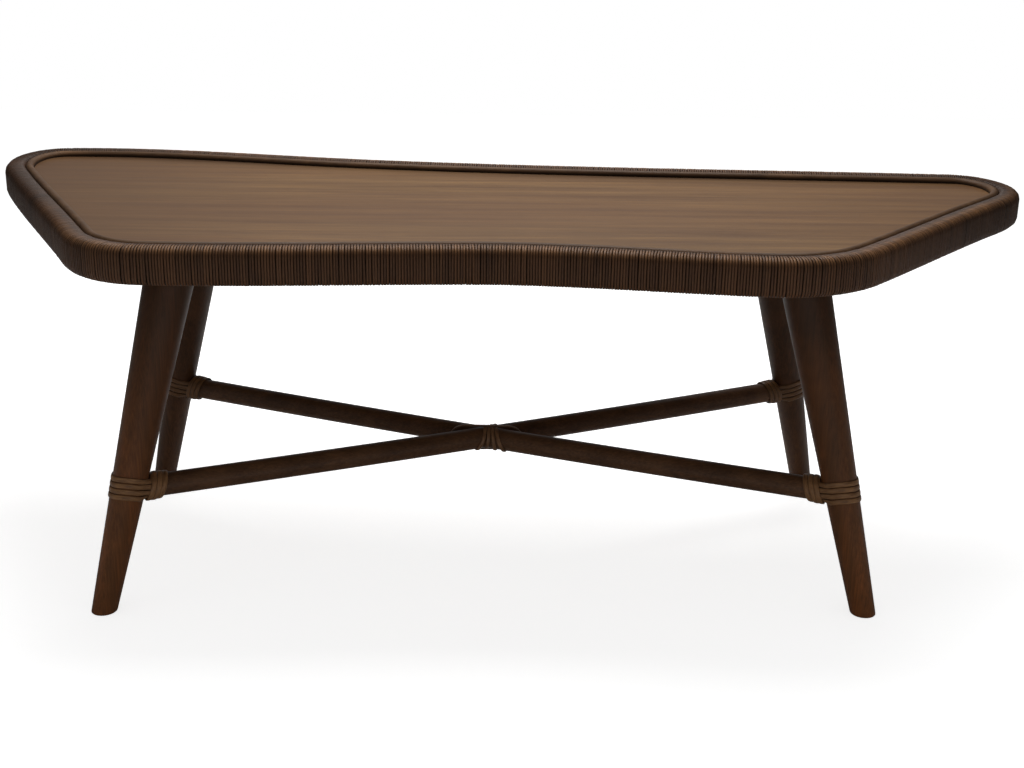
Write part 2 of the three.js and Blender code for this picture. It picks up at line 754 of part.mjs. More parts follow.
// Adds the way round the pole from one angle to another, moving along it by a length
function putRoundPole(joint, from_length, to_length, from_angle, to_angle) {
  const steps = Math.ceil(Math.abs(to_angle - from_angle) * pole_loop_steps / (2 * Math.PI));
  for (let step = 1; step < steps; step += 1) {
    const share = step / steps;
    const length = from_length + (to_length - from_length) * share;
    putOnPole(joint, length, from_angle + (to_angle - from_angle) * share);
  }
}

// Lashing at a joint: four turns side by side round the outside of the leg. The lower strip makes
// two of them, turning back below the pole, then winds round the pole; the upper strip makes the
// other two, turning back above the pole.
const corner_angle = turn_back_round / pole_reach;
function lashJoint(leg) {
  const first_turn = legRadius(pole_height) * jointOf(leg).stretch + peel_width / 2 + turn_back_clearance;
  const second_turn = first_turn + lashing_pitch;
  const short_tail = first_turn - peel_width / 2 - tail_clearance;
  const first_run = first_turn - turn_back_round;
  const second_run = second_turn - turn_back_round;
  const [lowest, lower, upper, highest] = [-1.5, -0.5, 0.5, 1.5];

  const low = jointOf(leg);
  putOnPole(low, short_tail, flankAngle(lowest));
  putRoundLeg(low, lowest, short_tail, first_run);
  const below_from = Math.PI - flankAngle(lowest);
  const below_to = 2 * Math.PI + flankAngle(lower);
  putCorner(low, first_turn, below_from, 1, true);
  putRoundPole(low, first_turn, first_turn, below_from + corner_angle, below_to - corner_angle);
  putCorner(low, first_turn, below_to, -1, false);
  putRoundLeg(low, lower, first_run, second_run);
  const winding_from = Math.PI - flankAngle(lower);
  const winding_angle = 2 * Math.PI * pole_lashing_turns;
  const winding_length = lashing_pitch * pole_lashing_turns;
  putCorner(low, second_turn, winding_from, 1, true);
  putRoundPole(low, second_turn, second_turn + winding_length,
    winding_from + corner_angle, winding_from + winding_angle);
  addPiece(`lashing_lower_${leg.name}`,
    stripAlong(`lashing_lower_${leg.name}`, low.places, peel_width, peel_thickness), peel_rattan);

  const high = jointOf(leg);
  putOnPole(high, second_run, flankAngle(upper));
  putRoundLeg(high, upper, second_run, first_run);
  const above_from = Math.PI - flankAngle(upper);
  const above_to = flankAngle(highest);
  putCorner(high, first_turn, above_from, -1, true);
  putRoundPole(high, first_turn, first_turn, above_from - corner_angle, above_to + corner_angle);
  putCorner(high, first_turn, above_to, 1, false);
  putRoundLeg(high, highest, first_run, short_tail);
  putOnPole(high, short_tail, Math.PI - flankAngle(highest));
  addPiece(`lashing_upper_${leg.name}`,
    stripAlong(`lashing_upper_${leg.name}`, high.places, peel_width, peel_thickness), peel_rattan);
}
for (const leg of legs.values()) lashJoint(leg);

// Cross lashing: two strips round both poles where they cross. Each turn has two level lengths,
// joined by half ellipses that pass the poles' sides.
function crossWinding(name, winding) {
  const count = winding.turns * winding.loop_steps;
  const growth = 1 / Math.cos(Math.PI / winding.loop_steps);
  const places = [];
  for (let step = 0; step <= count; step += 1) {
    const turns = step / winding.loop_steps;
    const along = winding.pitch * (turns - winding.turns / 2);
    const level = winding.levelAt(along);
    const arc = Math.PI * (winding.side_reach + winding.height_reach) / 2;
    const lap = 2 * arc + 4 * level;
    let way = (turns % 1) * lap;
    let angle = 0;
    let shift = level;
    if (way < arc) {
      angle = Math.PI * (way / arc - 0.5);
    } else if (way < arc + 2 * level) {
      angle = Math.PI / 2;
      shift = level - (way - arc);
    } else if (way < 2 * arc + 2 * level) {
      way -= arc + 2 * level;
      angle = Math.PI * (way / arc + 0.5);
      shift = -level;
    } else {
      angle = -Math.PI / 2;
      shift = way - 2 * arc - 3 * level;
    }
    const point = cross_centre.clone()
      .addScaledVector(winding.along_way, along)
      .addScaledVector(winding.side_way, shift + winding.side_reach * growth * Math.cos(angle))
      .addScaledVector(up, winding.height_reach * growth * Math.sin(angle));
    const out = winding.side_way.clone().multiplyScalar(Math.cos(angle) / winding.side_reach)
      .addScaledVector(up, Math.sin(angle) / winding.height_reach).normalize();
    places.push({ point, out });
  }
  addPiece(name, stripAlong(name, places, cross_peel_width, cross_peel_thickness), peel_rattan);
}

const cross_slope = Math.abs(cross_run.direction.y / cross_run.direction.x);
const half_peel = cross_peel_width / 2;
const cross_stand_off = fit_gap + cross_peel_thickness / 2;
const inner_half_length = inner_cross_turns * cross_lashing_pitch / 2;
crossWinding('cross_lashing_inner', {
  along_way: new THREE.Vector3(1, 0, 0),
  side_way: new THREE.Vector3(0, 1, 0),
  turns: inner_cross_turns,
  pitch: cross_lashing_pitch,
  loop_steps: inner_cross_loop_steps,
  levelAt: (along) => Math.abs(along) * cross_slope,
  side_reach: pole_radius * Math.hypot(1, cross_slope) + half_peel * cross_slope + cross_stand_off,
  height_reach: pole_radius + cross_stand_off,
});
const outer_level = inner_half_length + half_peel + cross_stand_off;
const outer_half_width = outer_cross_turns * outer_cross_pitch / 2 + half_peel;
crossWinding('cross_lashing_outer', {
  along_way: new THREE.Vector3(0, 1, 0),
  side_way: new THREE.Vector3(1, 0, 0),
  turns: outer_cross_turns,
  pitch: outer_cross_pitch,
  loop_steps: outer_cross_loop_steps,
  levelAt: () => outer_level,
  side_reach: (pole_radius * Math.hypot(1, cross_slope) + outer_half_width) / cross_slope
    + cross_stand_off - outer_level,
  height_reach: pole_radius + cross_stand_off + cross_peel_thickness + cross_layer_gap,
});

// The origin lies on the floor below the middle of the whole table
const bounds = new THREE.Box3().setFromObject(table);
table.position.set(-(bounds.min.x + bounds.max.x) / 2, -(bounds.min.y + bounds.max.y) / 2, 0);

export default table;
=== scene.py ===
# %% [markdown]
# # A low table with a free-form top
# The table has a recessed wooden top in a thick rim. The rim is wound with about a thousand turns
# of thin, dark rattan core. Four turned legs splay out below it, and two poles cross between them,
# lashed with flat peel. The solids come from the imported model. This script dresses them: it gives
# every piece its finish, and puts finer pieces in place of the ones whose form needs more than a
# solid shows.

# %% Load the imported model
import math
import bmesh
import bpy
import numpy as np
from mathutils import Matrix, Vector


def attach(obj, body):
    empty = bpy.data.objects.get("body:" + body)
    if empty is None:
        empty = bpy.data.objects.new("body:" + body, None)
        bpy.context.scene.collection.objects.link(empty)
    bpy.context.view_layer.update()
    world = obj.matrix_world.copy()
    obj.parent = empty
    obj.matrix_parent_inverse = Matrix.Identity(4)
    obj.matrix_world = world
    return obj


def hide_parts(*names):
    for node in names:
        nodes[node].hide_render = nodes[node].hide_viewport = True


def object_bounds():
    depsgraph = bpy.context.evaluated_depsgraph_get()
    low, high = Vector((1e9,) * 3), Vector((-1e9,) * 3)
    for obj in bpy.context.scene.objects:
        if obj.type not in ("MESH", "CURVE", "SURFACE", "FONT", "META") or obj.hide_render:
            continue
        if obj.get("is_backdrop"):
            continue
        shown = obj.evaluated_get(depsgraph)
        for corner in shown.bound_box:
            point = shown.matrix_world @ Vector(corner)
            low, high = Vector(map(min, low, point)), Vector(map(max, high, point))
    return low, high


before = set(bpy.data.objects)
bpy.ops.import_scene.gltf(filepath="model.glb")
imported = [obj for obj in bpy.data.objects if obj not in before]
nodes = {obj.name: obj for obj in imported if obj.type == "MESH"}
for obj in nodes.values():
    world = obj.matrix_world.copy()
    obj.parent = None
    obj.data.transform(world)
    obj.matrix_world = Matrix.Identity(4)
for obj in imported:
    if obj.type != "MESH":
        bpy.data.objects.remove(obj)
cad_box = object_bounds()
print("solids in the frame:", len(nodes))

# %% [markdown]
# All lengths are in metres, and the sizes here are those that the solids were made to. The outline
# of the top is eleven places joined by smooth curves. A place has X and Y as shares of the top's
# length and depth, and a heading in degrees. Each curve is the one that comes closest to an arc
# between two headings. A side of the rim has the place where it starts and its number of curves. A
# foot has its place in the same shares, and then -1 or 1 for left or right and for front or rear.

# %% Sizes that the pieces share
MM = 0.001
TOP_LENGTH, TOP_DEPTH, TABLE_HEIGHT = 1419 * MM, 648 * MM, 457 * MM
MIDDLE = Vector((-0.72 * MM, 0.17 * MM))
RIM_WIDTH, RIM_HEIGHT = 29 * MM, 46 * MM
RIM_MIDDLE = TABLE_HEIGHT - RIM_HEIGHT / 2
VENEER_TOP = 449 * MM
RAIL_BOTTOM, PANEL_BOTTOM = 405 * MM, 429 * MM
POLE_HEIGHT, POLE_RADIUS, POLE_SAG = 151 * MM, 14 * MM, 3.5 * MM
LEG_FOOT_RADIUS, LEG_SHOULDER_RADIUS = 15.2 * MM, 29.5 * MM
SIDE_SPLAY, END_SPLAY = math.tan(math.radians(12.65)), math.tan(math.radians(9.2))

OUTLINE = [
    (-0.45, 0.497, 4.9), (-0.129, 0.392, -8.8), (0.45, 0.295, -4.3), (0.5003, 0.1364, -94.8),
    (0.4467, -0.0501, -131.4), (0.307, -0.4089, -131.3), (0.211, -0.5, -184.9),
    (-0.028, -0.435, -178.6), (-0.294, -0.455, -182.8), (-0.368, -0.335, -245.8),
    (-0.49, 0.246, -247.3),
]
RIM_SIDES = {"back": (0, 2), "right": (2, 4), "front": (6, 2), "left": (8, 3)}
FEET = {
    "front_left": (-0.3432, -0.4413, -1, -1), "front_right": (0.3136, -0.4413, 1, -1),
    "rear_left": (-0.3502, 0.2222, -1, 1), "rear_right": (0.3206, 0.2222, 1, 1),
}

# %% [markdown]
# The camera stands where the photographer stood. Its place, tilt and small roll were fitted to the
# rim's outline, the legs and the feet, so that the render lines up with the photograph to one or
# two pixels. The lens follows from the focal length in pixels of a picture 1024 pixels wide, and
# the tilt from the horizon, which would lie 524 pixels above the picture's middle.

# %% Camera
PICTURE_PIXELS, FOCAL_PIXELS, HORIZON_PIXELS = 1024, 1500, 524
CAMERA_PLACE = Vector((-38.78 * MM, -1934.0 * MM, 872.6 * MM))
CAMERA_YAW, CAMERA_ROLL = 0.027, 0.016
CAMERA_PITCH = math.atan(HORIZON_PIXELS / FOCAL_PIXELS)


def add_object(name, data):
    piece = bpy.data.objects.new(name, data)
    bpy.context.collection.objects.link(piece)
    return piece


def camera_turn(yaw, pitch, roll):
    level = math.cos(pitch)
    ahead = Vector((math.sin(yaw) * level, math.cos(yaw) * level, -math.sin(pitch)))
    right = Vector((math.cos(yaw), -math.sin(yaw), 0))
    up = right.cross(ahead)
    tilted_right = right * math.cos(roll) + up * math.sin(roll)
    tilted_up = up * math.cos(roll) - right * math.sin(roll)
    return Matrix((tilted_right, tilted_up, -ahead)).transposed().to_4x4()


camera_data = bpy.data.cameras.new("camera")
camera_data.sensor_fit = "HORIZONTAL"
camera_data.sensor_width = 36
camera_data.lens = FOCAL_PIXELS * camera_data.sensor_width / PICTURE_PIXELS
camera_data.clip_end = 60
camera = add_object("camera", camera_data)
camera.matrix_world = (Matrix.Translation(CAMERA_PLACE)
                       @ camera_turn(CAMERA_YAW, CAMERA_PITCH, CAMERA_ROLL))
bpy.context.scene.camera = camera
print(f"lens: {camera_data.lens:.2f} mm")

# %% [markdown]
# Materials, and the surround of the scene, are trees of nodes. Most of these helpers add one node
# and return the socket that the next node needs, so that a material below reads like a recipe.
# Colours are written as they look on a screen, and are turned into the linear numbers that the
# shader works with.

# %% Helpers for shader nodes
def is_socket(value):
    return isinstance(value, bpy.types.NodeSocket)


def screen_colour(tones):
    shares = [tone / 255 for tone in tones]
    linear = [s / 12.92 if s <= 0.04045 else ((s + 0.055) / 1.055) ** 2.4 for s in shares]
    return (*linear, 1)


def feed(tree, node, values):
    """values: for each input of the node, a number, a colour or another node's socket."""
    for name, value in values.items():
        if is_socket(value):
            tree.links.new(value, node.inputs[name])
        else:
            node.inputs[name].default_value = value


def new_node(tree, kind, values):
    node = tree.nodes.new(kind)
    feed(tree, node, values)
    return node


def stretched(tree, vector, scale, turn=(0, 0, 0)):
    values = {"Vector": vector, "Scale": scale, "Rotation": turn}
    return new_node(tree, "ShaderNodeMapping", values).outputs[0]


def split(tree, vector):
    return new_node(tree, "ShaderNodeSeparateXYZ", {"Vector": vector}).outputs


def joined(tree, x, y):
    return new_node(tree, "ShaderNodeCombineXYZ", {"X": x, "Y": y}).outputs[0]


def cloud(tree, vector, detail, roughness, warp=0, scale=1):
    values = {"Vector": vector, "Scale": scale, "Detail": detail, "Roughness": roughness,
              "Distortion": warp}
    return new_node(tree, "ShaderNodeTexNoise", values).outputs["Fac"]


def sums(tree, operation, first, second=0.0):
    node = tree.nodes.new("ShaderNodeMath")
    node.operation = operation
    feed(tree, node, {0: first, 1: second})
    return node.outputs[0]


def times(tree, first, second):
    return sums(tree, "MULTIPLY", first, second)


def spread(tree, value, low, high, to_low=0.0, to_high=1.0):
    """Turns the range from low to high into the one from to_low to to_high."""
    values = {"Value": value, "From Min": low, "From Max": high,
              "To Min": to_low, "To Max": to_high}
    return new_node(tree, "ShaderNodeMapRange", values).outputs[0]


def blended(tree, share, first, second):
    """Mixes two colours, each a socket or three numbers as they look on a screen."""
    node = tree.nodes.new("ShaderNodeMix")
    node.data_type = "RGBA"
    first, second = [c if is_socket(c) else screen_colour(c) for c in (first, second)]
    feed(tree, node, {0: share, 6: first, 7: second})
    return node.outputs[2]


def laid_over(tree, colour, value, low, high, most, tone):
    """Lays a tone over a colour, from nothing where value is low to a share of most at high."""
    return blended(tree, spread(tree, value, low, high, 0, most), colour, tone)


def relief(tree, height, strength, distance):
    values = {"Height": height, "Strength": strength, "Distance": distance}
    return new_node(tree, "ShaderNodeBump", values).outputs[0]


def new_material(name):
    material = bpy.data.materials.new(name)
    material.use_nodes = True
    print("material:", name)
    tree = material.node_tree
    coordinates = tree.nodes.new("ShaderNodeTexCoord").outputs
    return material, tree, coordinates["Object"], coordinates["UV"]


def finish_material(tree, **values):
    shader = tree.nodes["Principled BSDF"]
    feed(tree, shader, {name.replace("_", " "): value for name, value in values.items()})


# %% [markdown]
# The light is plain and soft. In the photograph it comes from above: the top is bright, and the
# faces that look at the camera are about a third as bright. So most of the light comes from one
# large lamp overhead. A second one stands behind the table, where the bright backdrop was, and
# gives the faint sheen on the top. A weak one stands at the left, and a long, low one in front
# lights the legs near the floor.

# %% Lamps
def area_lamp(name, place, aim, size, power, shine=1.0):
    data = bpy.data.lights.new(name, "AREA")
    data.specular_factor = shine
    data.shape = "RECTANGLE"
    data.size, data.size_y = size
    data.energy = power
    lamp = add_object(name, data)
    lamp.location = place
    lamp.rotation_euler = (Vector(aim) - Vector(place)).to_track_quat("-Z", "Y").to_euler()
    print(f"{name}: {power} W")


area_lamp("overhead_lamp", place=(0, 0.75, 2.05), aim=(0, 0.05, 0.45), size=(1.4, 1.4), power=32)
area_lamp("backdrop_lamp", place=(0, 3.6, 1.5), aim=(0, 0, 0.45), size=(5, 2), power=10, shine=0.5)
area_lamp("side_lamp", place=(-2.6, -1.6, 1.9), aim=(0, 0, 0.3), size=(1.6, 1.6), power=1.5)
area_lamp("low_lamp", place=(0.2, -2.3, 0.12), aim=(0, 0, 0.3), size=(3, 0.4), power=5)

# %% [markdown]
# The surround adds a little light from all sides, and less in reflections, so that dark wood stays
# dark. To the camera the surround is white, and so is the floor but for a faint shadow: the floor
# glows for the camera alone, and only its own pale grey shows the shadow.

# %% Surround and floor
WHITE = (1, 1, 1, 1)
SURROUND_LIGHT, SURROUND_SHINE = 0.18, 0.05
FLOOR_SIZE, FLOOR_GREY, FLOOR_GLOW = 7, 0.84, 0.78
scene = bpy.context.scene
scene.view_settings.view_transform = "Standard"
world = bpy.data.worlds.new("surround")
scene.world = world
world.use_nodes = True
surround = world.node_tree
surround.nodes.clear()
ray = surround.nodes.new("ShaderNodeLightPath").outputs
straight = sums(surround, "MAXIMUM", ray["Is Camera Ray"], ray["Is Transmission Ray"])
on_table = spread(surround, ray["Is Glossy Ray"], 0, 1, SURROUND_LIGHT, SURROUND_SHINE)
strength = sums(surround, "MAXIMUM", straight, on_table)
shade = new_node(surround, "ShaderNodeBackground", {"Color": WHITE, "Strength": strength})
new_node(surround, "ShaderNodeOutputWorld", {"Surface": shade.outputs[0]})


def start_with(add, **values):
    """Adds a primitive with nothing else selected."""
    bpy.ops.object.select_all(action="DESELECT")
    add(**values)
    return bpy.context.object


floor_paint, tree, _, _ = new_material("floor_paint")
ray = tree.nodes.new("ShaderNodeLightPath").outputs
finish_material(tree, Base_Color=(FLOOR_GREY, FLOOR_GREY, FLOOR_GREY, 1), Roughness=0.9,
                Specular_IOR_Level=0, Emission_Color=WHITE,
                Emission_Strength=times(tree, ray["Is Camera Ray"], FLOOR_GLOW))
floor = start_with(bpy.ops.mesh.primitive_plane_add, size=FLOOR_SIZE, location=(0, 0, 0))
floor.name = "floor"
floor.data.materials.append(floor_paint)
floor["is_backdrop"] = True

# %% [markdown]
# Wood grain is one effect that many pieces use: long soft streaks, fine fibres and short dark
# pores, all drawn out along one axis. It is built once as a group. The caller passes coordinates
# whose X runs along the grain, in metres, so the same group serves the flat top and the leaning
# legs.

# %% Wood grain
def new_group(name, coordinates):
    """Starts a group of nodes that reads coordinates."""
    tree = bpy.data.node_groups.new(name, "ShaderNodeTree")
    tree.interface.new_socket(name=coordinates, in_out="INPUT", socket_type="NodeSocketVector")
    return tree, tree.nodes.new("NodeGroupInput").outputs[coordinates]


def finish_group(tree, **values):
    """Gives the group one output for each value."""
    for name in values:
        tree.interface.new_socket(name=name, in_out="OUTPUT", socket_type="NodeSocketFloat")
    new_node(tree, "NodeGroupOutput", values)
    print("group:", tree.name, list(values))
    return tree


def placed(tree, group, vector):
    node = tree.nodes.new("ShaderNodeGroup")
    node.node_tree = group
    feed(tree, node, {0: vector})
    return node.outputs


tree, along = new_group("wood_grain", "Along Grain")
wavy = cloud(tree, stretched(tree, along, (2.2, 38, 38)), 6, 0.7, 0.25)
thin = cloud(tree, stretched(tree, along, (7, 620, 620)), 3, 0.6, 0.1)
short = cloud(tree, stretched(tree, along, (30, 900, 900)), 1, 0.4)
grain_group = finish_group(tree, Streaks=wavy, Fibres=thin, Pores=spread(tree, short, 0.62, 0.72))

# %% [markdown]
# The top is veneered. In the photograph its grain runs straight along the whole length, in a warm
# middle brown with darker and redder streaks and a satin lacquer. The colour is mixed from the
# streaks. It is painted darker towards both ends, as painted shade where the light falls off, and
# has a painted soft shadow along the back rim. The shadow follows the rim, which lies near
# Y = BACK_LINE - BACK_SLOPE * X + BACK_BEND * X * X. The fibres and pores are drawn, and the fibres
# are pressed in a little.

# %% Veneer
PAINTED_LIGHT_X = 0.12
BACK_LINE, BACK_SLOPE, BACK_BEND, BACK_BAND = 0.1942, 0.1136, 0.0867, 0.05
veneer_finish, tree, where, _ = new_material("veneer_finish")
place = split(tree, where)
grain = placed(tree, grain_group, where)
broad = cloud(tree, stretched(tree, where, (0.9, 5, 5)), 3, 0.5, 0.4)
colour = blended(tree, spread(tree, grain["Streaks"], 0.33, 0.68), (106, 72, 36), (150, 112, 66))
colour = laid_over(tree, colour, broad, 0.4, 0.65, 0.45, (118, 77, 46))
# painted light falloff: darker towards both ends of the top, away from a lit middle a little right
# of centre
off_painted_light = sums(tree, "ABSOLUTE", sums(tree, "SUBTRACT", place["X"], PAINTED_LIGHT_X))
colour = laid_over(tree, colour, off_painted_light, 0.4, 0.76, 0.6, (92, 66, 44))
# painted shadow of the back rim: a soft dark band on the veneer along the back
steepness = sums(tree, "SUBTRACT", BACK_SLOPE, times(tree, place["X"], BACK_BEND))
straightened = sums(tree, "ADD", place["Y"], times(tree, steepness, place["X"]))
near_back = spread(tree, sums(tree, "SUBTRACT", straightened, BACK_LINE), -BACK_BAND, 0)
painted_back_shadow = times(tree, times(tree, near_back, near_back), 0.75)
colour = blended(tree, painted_back_shadow, colour, (50, 34, 22))
colour = blended(tree, spread(tree, grain["Fibres"], 0.35, 0.65, 0.5, 0.0), colour, (92, 64, 40))
colour = laid_over(tree, colour, grain["Pores"], 0.0, 1.0, 0.4, (76, 54, 37))
finish_material(tree, Base_Color=colour, Specular_IOR_Level=0.18,
                Roughness=spread(tree, grain["Fibres"], 0.2, 0.8, 0.42, 0.5),
                Normal=relief(tree, grain["Fibres"], 0.12, 0.3 * MM))

# %% [markdown]
# The winding's finish follows its turns. Each turn's UV map counts the turns along U and goes once
# round the rim along V, from the middle of its outer face. The whole number of U picks a tone for
# each turn, and a slow cloud along U groups lighter and darker lengths as they came from different
# canes. The grooves between turns get a painted shade. The upper outer corner gets a painted
# highlight, brighter on some turns than others.

# %% Tones of the turns
HIGHLIGHT_ROUND = 0.215
tree, turn_map = new_group("turn_tones", "Turn Map")
place = split(tree, turn_map)
number = sums(tree, "FLOOR", place["X"])
own = tree.nodes.new("ShaderNodeTexWhiteNoise")
own.noise_dimensions = "1D"
feed(tree, own, {"W": number})
slow = joined(tree, times(tree, number, 0.11), times(tree, place["Y"], 0.6))
fine = joined(tree, times(tree, place["X"], 3), times(tree, place["Y"], 22))
from_crown = sums(tree, "SUBTRACT", sums(tree, "SUBTRACT", place["X"], number), 0.5)
off_crown = times(tree, sums(tree, "ABSOLUTE", from_crown), 2.0)
# painted highlight: a band round the upper outer corner of each turn, stronger on some turns than
# others
off_corner = sums(tree, "ABSOLUTE", sums(tree, "SUBTRACT", place["Y"], HIGHLIGHT_ROUND))
share_of_turn = spread(tree, own.outputs["Value"], 0, 1, 0.4, 1)
wear_and_highlight = times(tree, spread(tree, off_corner, 0.075, 0.03), share_of_turn)
turn_group = finish_group(tree, Tone=own.outputs["Value"], Lengths=cloud(tree, slow, 3, 0.6),
                          Mottle=cloud(tree, fine, 3, 0.6), Edge=off_crown, Worn=wear_and_highlight)

# %% [markdown]
# The winding's colour is mixed from those tones. The painted highlight on the upper outer corner
# shows along the front and less towards the ends of the table, where the winding is painted darker
# as shade.

# %% Wound rattan core
winding_finish, tree, where, turn_map = new_material("winding_finish")
tones = placed(tree, turn_group, turn_map)
place = split(tree, where)
colour = blended(tree, tones["Tone"], (78, 50, 30), (99, 66, 41))
colour = laid_over(tree, colour, tones["Lengths"], 0.45, 0.7, 0.6, (112, 74, 46))
colour = laid_over(tree, colour, tones["Lengths"], 0.42, 0.28, 0.6, (50, 34, 23))
colour = laid_over(tree, colour, tones["Mottle"], 0.5, 0.75, 0.4, (126, 94, 68))
# painted shade: the winding is darker towards both ends of the table
off_middle = sums(tree, "ABSOLUTE", place["X"])
colour = laid_over(tree, colour, off_middle, 0.46, 0.62, 0.5, (34, 22, 13))
# the painted highlight is strongest along the front and fades towards the ends
highlight_reach = sums(tree, "MINIMUM", spread(tree, place["X"], -0.6, -0.46, 0.0, 0.6),
               spread(tree, place["X"], 0.7, 0.6, 0.2, 0.65))
colour = blended(tree, times(tree, tones["Worn"], highlight_reach), colour, (168, 120, 76))
# painted shade in the grooves between turns
colour = laid_over(tree, colour, tones["Edge"], 0.4, 0.9, 0.9, (28, 17, 10))
finish_material(tree, Base_Color=colour, Specular_IOR_Level=0.25,
                Roughness=spread(tree, tones["Mottle"], 0.3, 0.7, 0.42, 0.6),
                Normal=relief(tree, tones["Mottle"], 0.25, 0.4 * MM))


# %% [markdown]
# The bead, legs, rails and poles are stained wood or rattan of one kind, so one function makes
# their finishes. It takes two tones, how rough the piece is, and how its grain lies. A faint
# lighter cloud stands for handled places where the stain has worn. A painted shade darkens the
# wood between two heights: the legs are painted darker upwards, the rear ones are a darker, shaded
# copy throughout, and the bead at the back is painted dark low down, as the shadow in its corner.

# %% Stained wood
BEAD_BACK_FROM, BEAD_BACK_TO = 0.02, 0.09


def stained_wood(name, dark, light, roughness, turn=(0, 0, 0), shade=None, only_back=False):
    """shade: painted shade, as the height where it starts, where it is darkest, and how dark."""
    material, tree, where, _ = new_material(name)
    grain = placed(tree, grain_group, stretched(tree, where, (1, 1, 1), turn))
    wear_and_highlight = cloud(tree, where, 3, 0.6, scale=9)
    darker = [0.72 * tone for tone in dark]
    lighter = [min(255, 1.25 * tone + 6) for tone in light]
    colour = blended(tree, spread(tree, grain["Streaks"], 0.32, 0.7), dark, light)
    colour = blended(tree, spread(tree, grain["Fibres"], 0.35, 0.7, 0.6, 0.0), colour, darker)
    colour = laid_over(tree, colour, wear_and_highlight, 0.55, 0.8, 0.35, lighter)
    # painted shade between two heights
    if shade:
        unshaded_height, dark_height, depth = shade
        place = split(tree, where)
        share = spread(tree, place["Z"], unshaded_height, dark_height, 0.0, depth)
        if only_back:
            at_back = spread(tree, place["Y"], BEAD_BACK_FROM, BEAD_BACK_TO)
            share = times(tree, share, at_back)
        colour = blended(tree, share, colour, [0.4 * tone for tone in dark])
    rougher = spread(tree, wear_and_highlight, 0.3, 0.7, roughness, roughness + 0.12)
    finish_material(tree, Base_Color=colour, Roughness=rougher, Specular_IOR_Level=0.22,
                    Normal=relief(tree, grain["Fibres"], 0.15, 0.3 * MM))
    return material


UPRIGHT = (0, math.radians(90), 0)
ACROSS = (0, 0, math.radians(90))
LEG_UNSHADED, LEG_DARKEST = 60 * MM, 360 * MM
BEAD_UNSHADED, BEAD_DARKEST = 453.5 * MM, 450.5 * MM
# the bead is painted dark low down at the back, as the shadow in its corner
bead_finish = stained_wood("bead_finish", (90, 63, 40), (124, 91, 61), 0.5,
                           shade=(BEAD_UNSHADED, BEAD_DARKEST, 0.9), only_back=True)
leg_finish = stained_wood("leg_finish", (108, 69, 38), (148, 87, 43), 0.42, UPRIGHT,
                          shade=(LEG_UNSHADED, LEG_DARKEST, 0.75))
# the rear legs are a darker, shaded copy of the leg finish: painted shade
shaded_rear_leg_finish = stained_wood("shaded_rear_leg_finish", (80, 52, 31), (104, 66, 38), 0.42, UPRIGHT,
                               shade=(LEG_UNSHADED, LEG_DARKEST, 0.6))
rail_finish = stained_wood("rail_finish", (82, 58, 38), (112, 82, 56), 0.6, ACROSS)
pole_finish = stained_wood("pole_finish", (80, 54, 36), (116, 80, 53), 0.38)
bare_finish = stained_wood("bare_finish", (122, 94, 66), (158, 126, 90), 0.7)
ply_finish = stained_wood("ply_finish", (112, 84, 58), (142, 112, 80), 0.7)

# %% [markdown]
# Flat peel is the shiny outer skin of the rattan, cut to a strip. Its fibres run along the strip,
# so the pattern reads the strip's own UV map: U runs along it in strip widths, and V goes round its
# section, with the middle of the outer face at 4/11. The strip's edges get a painted shade, where
# neighbouring turns meet, and the peel at the rear legs is a darker, shaded copy.

# %% Flat peel
STRIP_MIDDLE = 4 / 11


def peel(name, dark, light):
    material, tree, _, strip_map = new_material(name)
    fibres = cloud(tree, stretched(tree, strip_map, (0.5, 9, 1)), 3, 0.6)
    patches = cloud(tree, stretched(tree, strip_map, (0.25, 0.7, 1)), 2, 0.5)
    lighter = [1.3 * tone for tone in light]
    colour = blended(tree, spread(tree, fibres, 0.35, 0.68), dark, light)
    colour = laid_over(tree, colour, patches, 0.5, 0.75, 0.4, lighter)
    place = split(tree, strip_map)
    # painted shade towards the strip's edges, where neighbouring turns meet
    off_middle = sums(tree, "ABSOLUTE", sums(tree, "SUBTRACT", place["Y"], STRIP_MIDDLE))
    colour = laid_over(tree, colour, off_middle, STRIP_MIDDLE * 0.5, STRIP_MIDDLE * 0.8, 0.5,
                       [0.35 * tone for tone in dark])
    finish_material(tree, Base_Color=colour, Roughness=spread(tree, patches, 0.3, 0.7, 0.36, 0.5),
                    Specular_IOR_Level=0.3, Normal=relief(tree, fibres, 0.3, 0.4 * MM))
    return material


joint_peel_finish = peel("joint_peel_finish", (110, 76, 47), (146, 106, 68))
# the rear peel is a darker, shaded copy: painted shade
shaded_rear_peel_finish = peel("shaded_rear_peel_finish", (90, 61, 36), (118, 83, 50))
cross_peel_finish = peel("cross_peel_finish", (96, 67, 45), (134, 98, 68))

# %% [markdown]
# The screws are below the top, in plain steel. A very fine cloud stands for the scratches of the
# driver, which turn the metal a little lighter and rougher.

# %% Steel screws
steel_finish, tree, where, _ = new_material("steel_finish")
scratches = cloud(tree, where, 2, 0.5, scale=900)
finish_material(tree, Base_Color=blended(tree, scratches, (150, 150, 148), (186, 186, 184)),
                Metallic=1, Roughness=spread(tree, scratches, 0.3, 0.7, 0.3, 0.5))

# %% [markdown]
# Pieces that keep their solid's shape only need their finish. The solid's material slot is filled
# with the finish of the first line here that its name starts with.

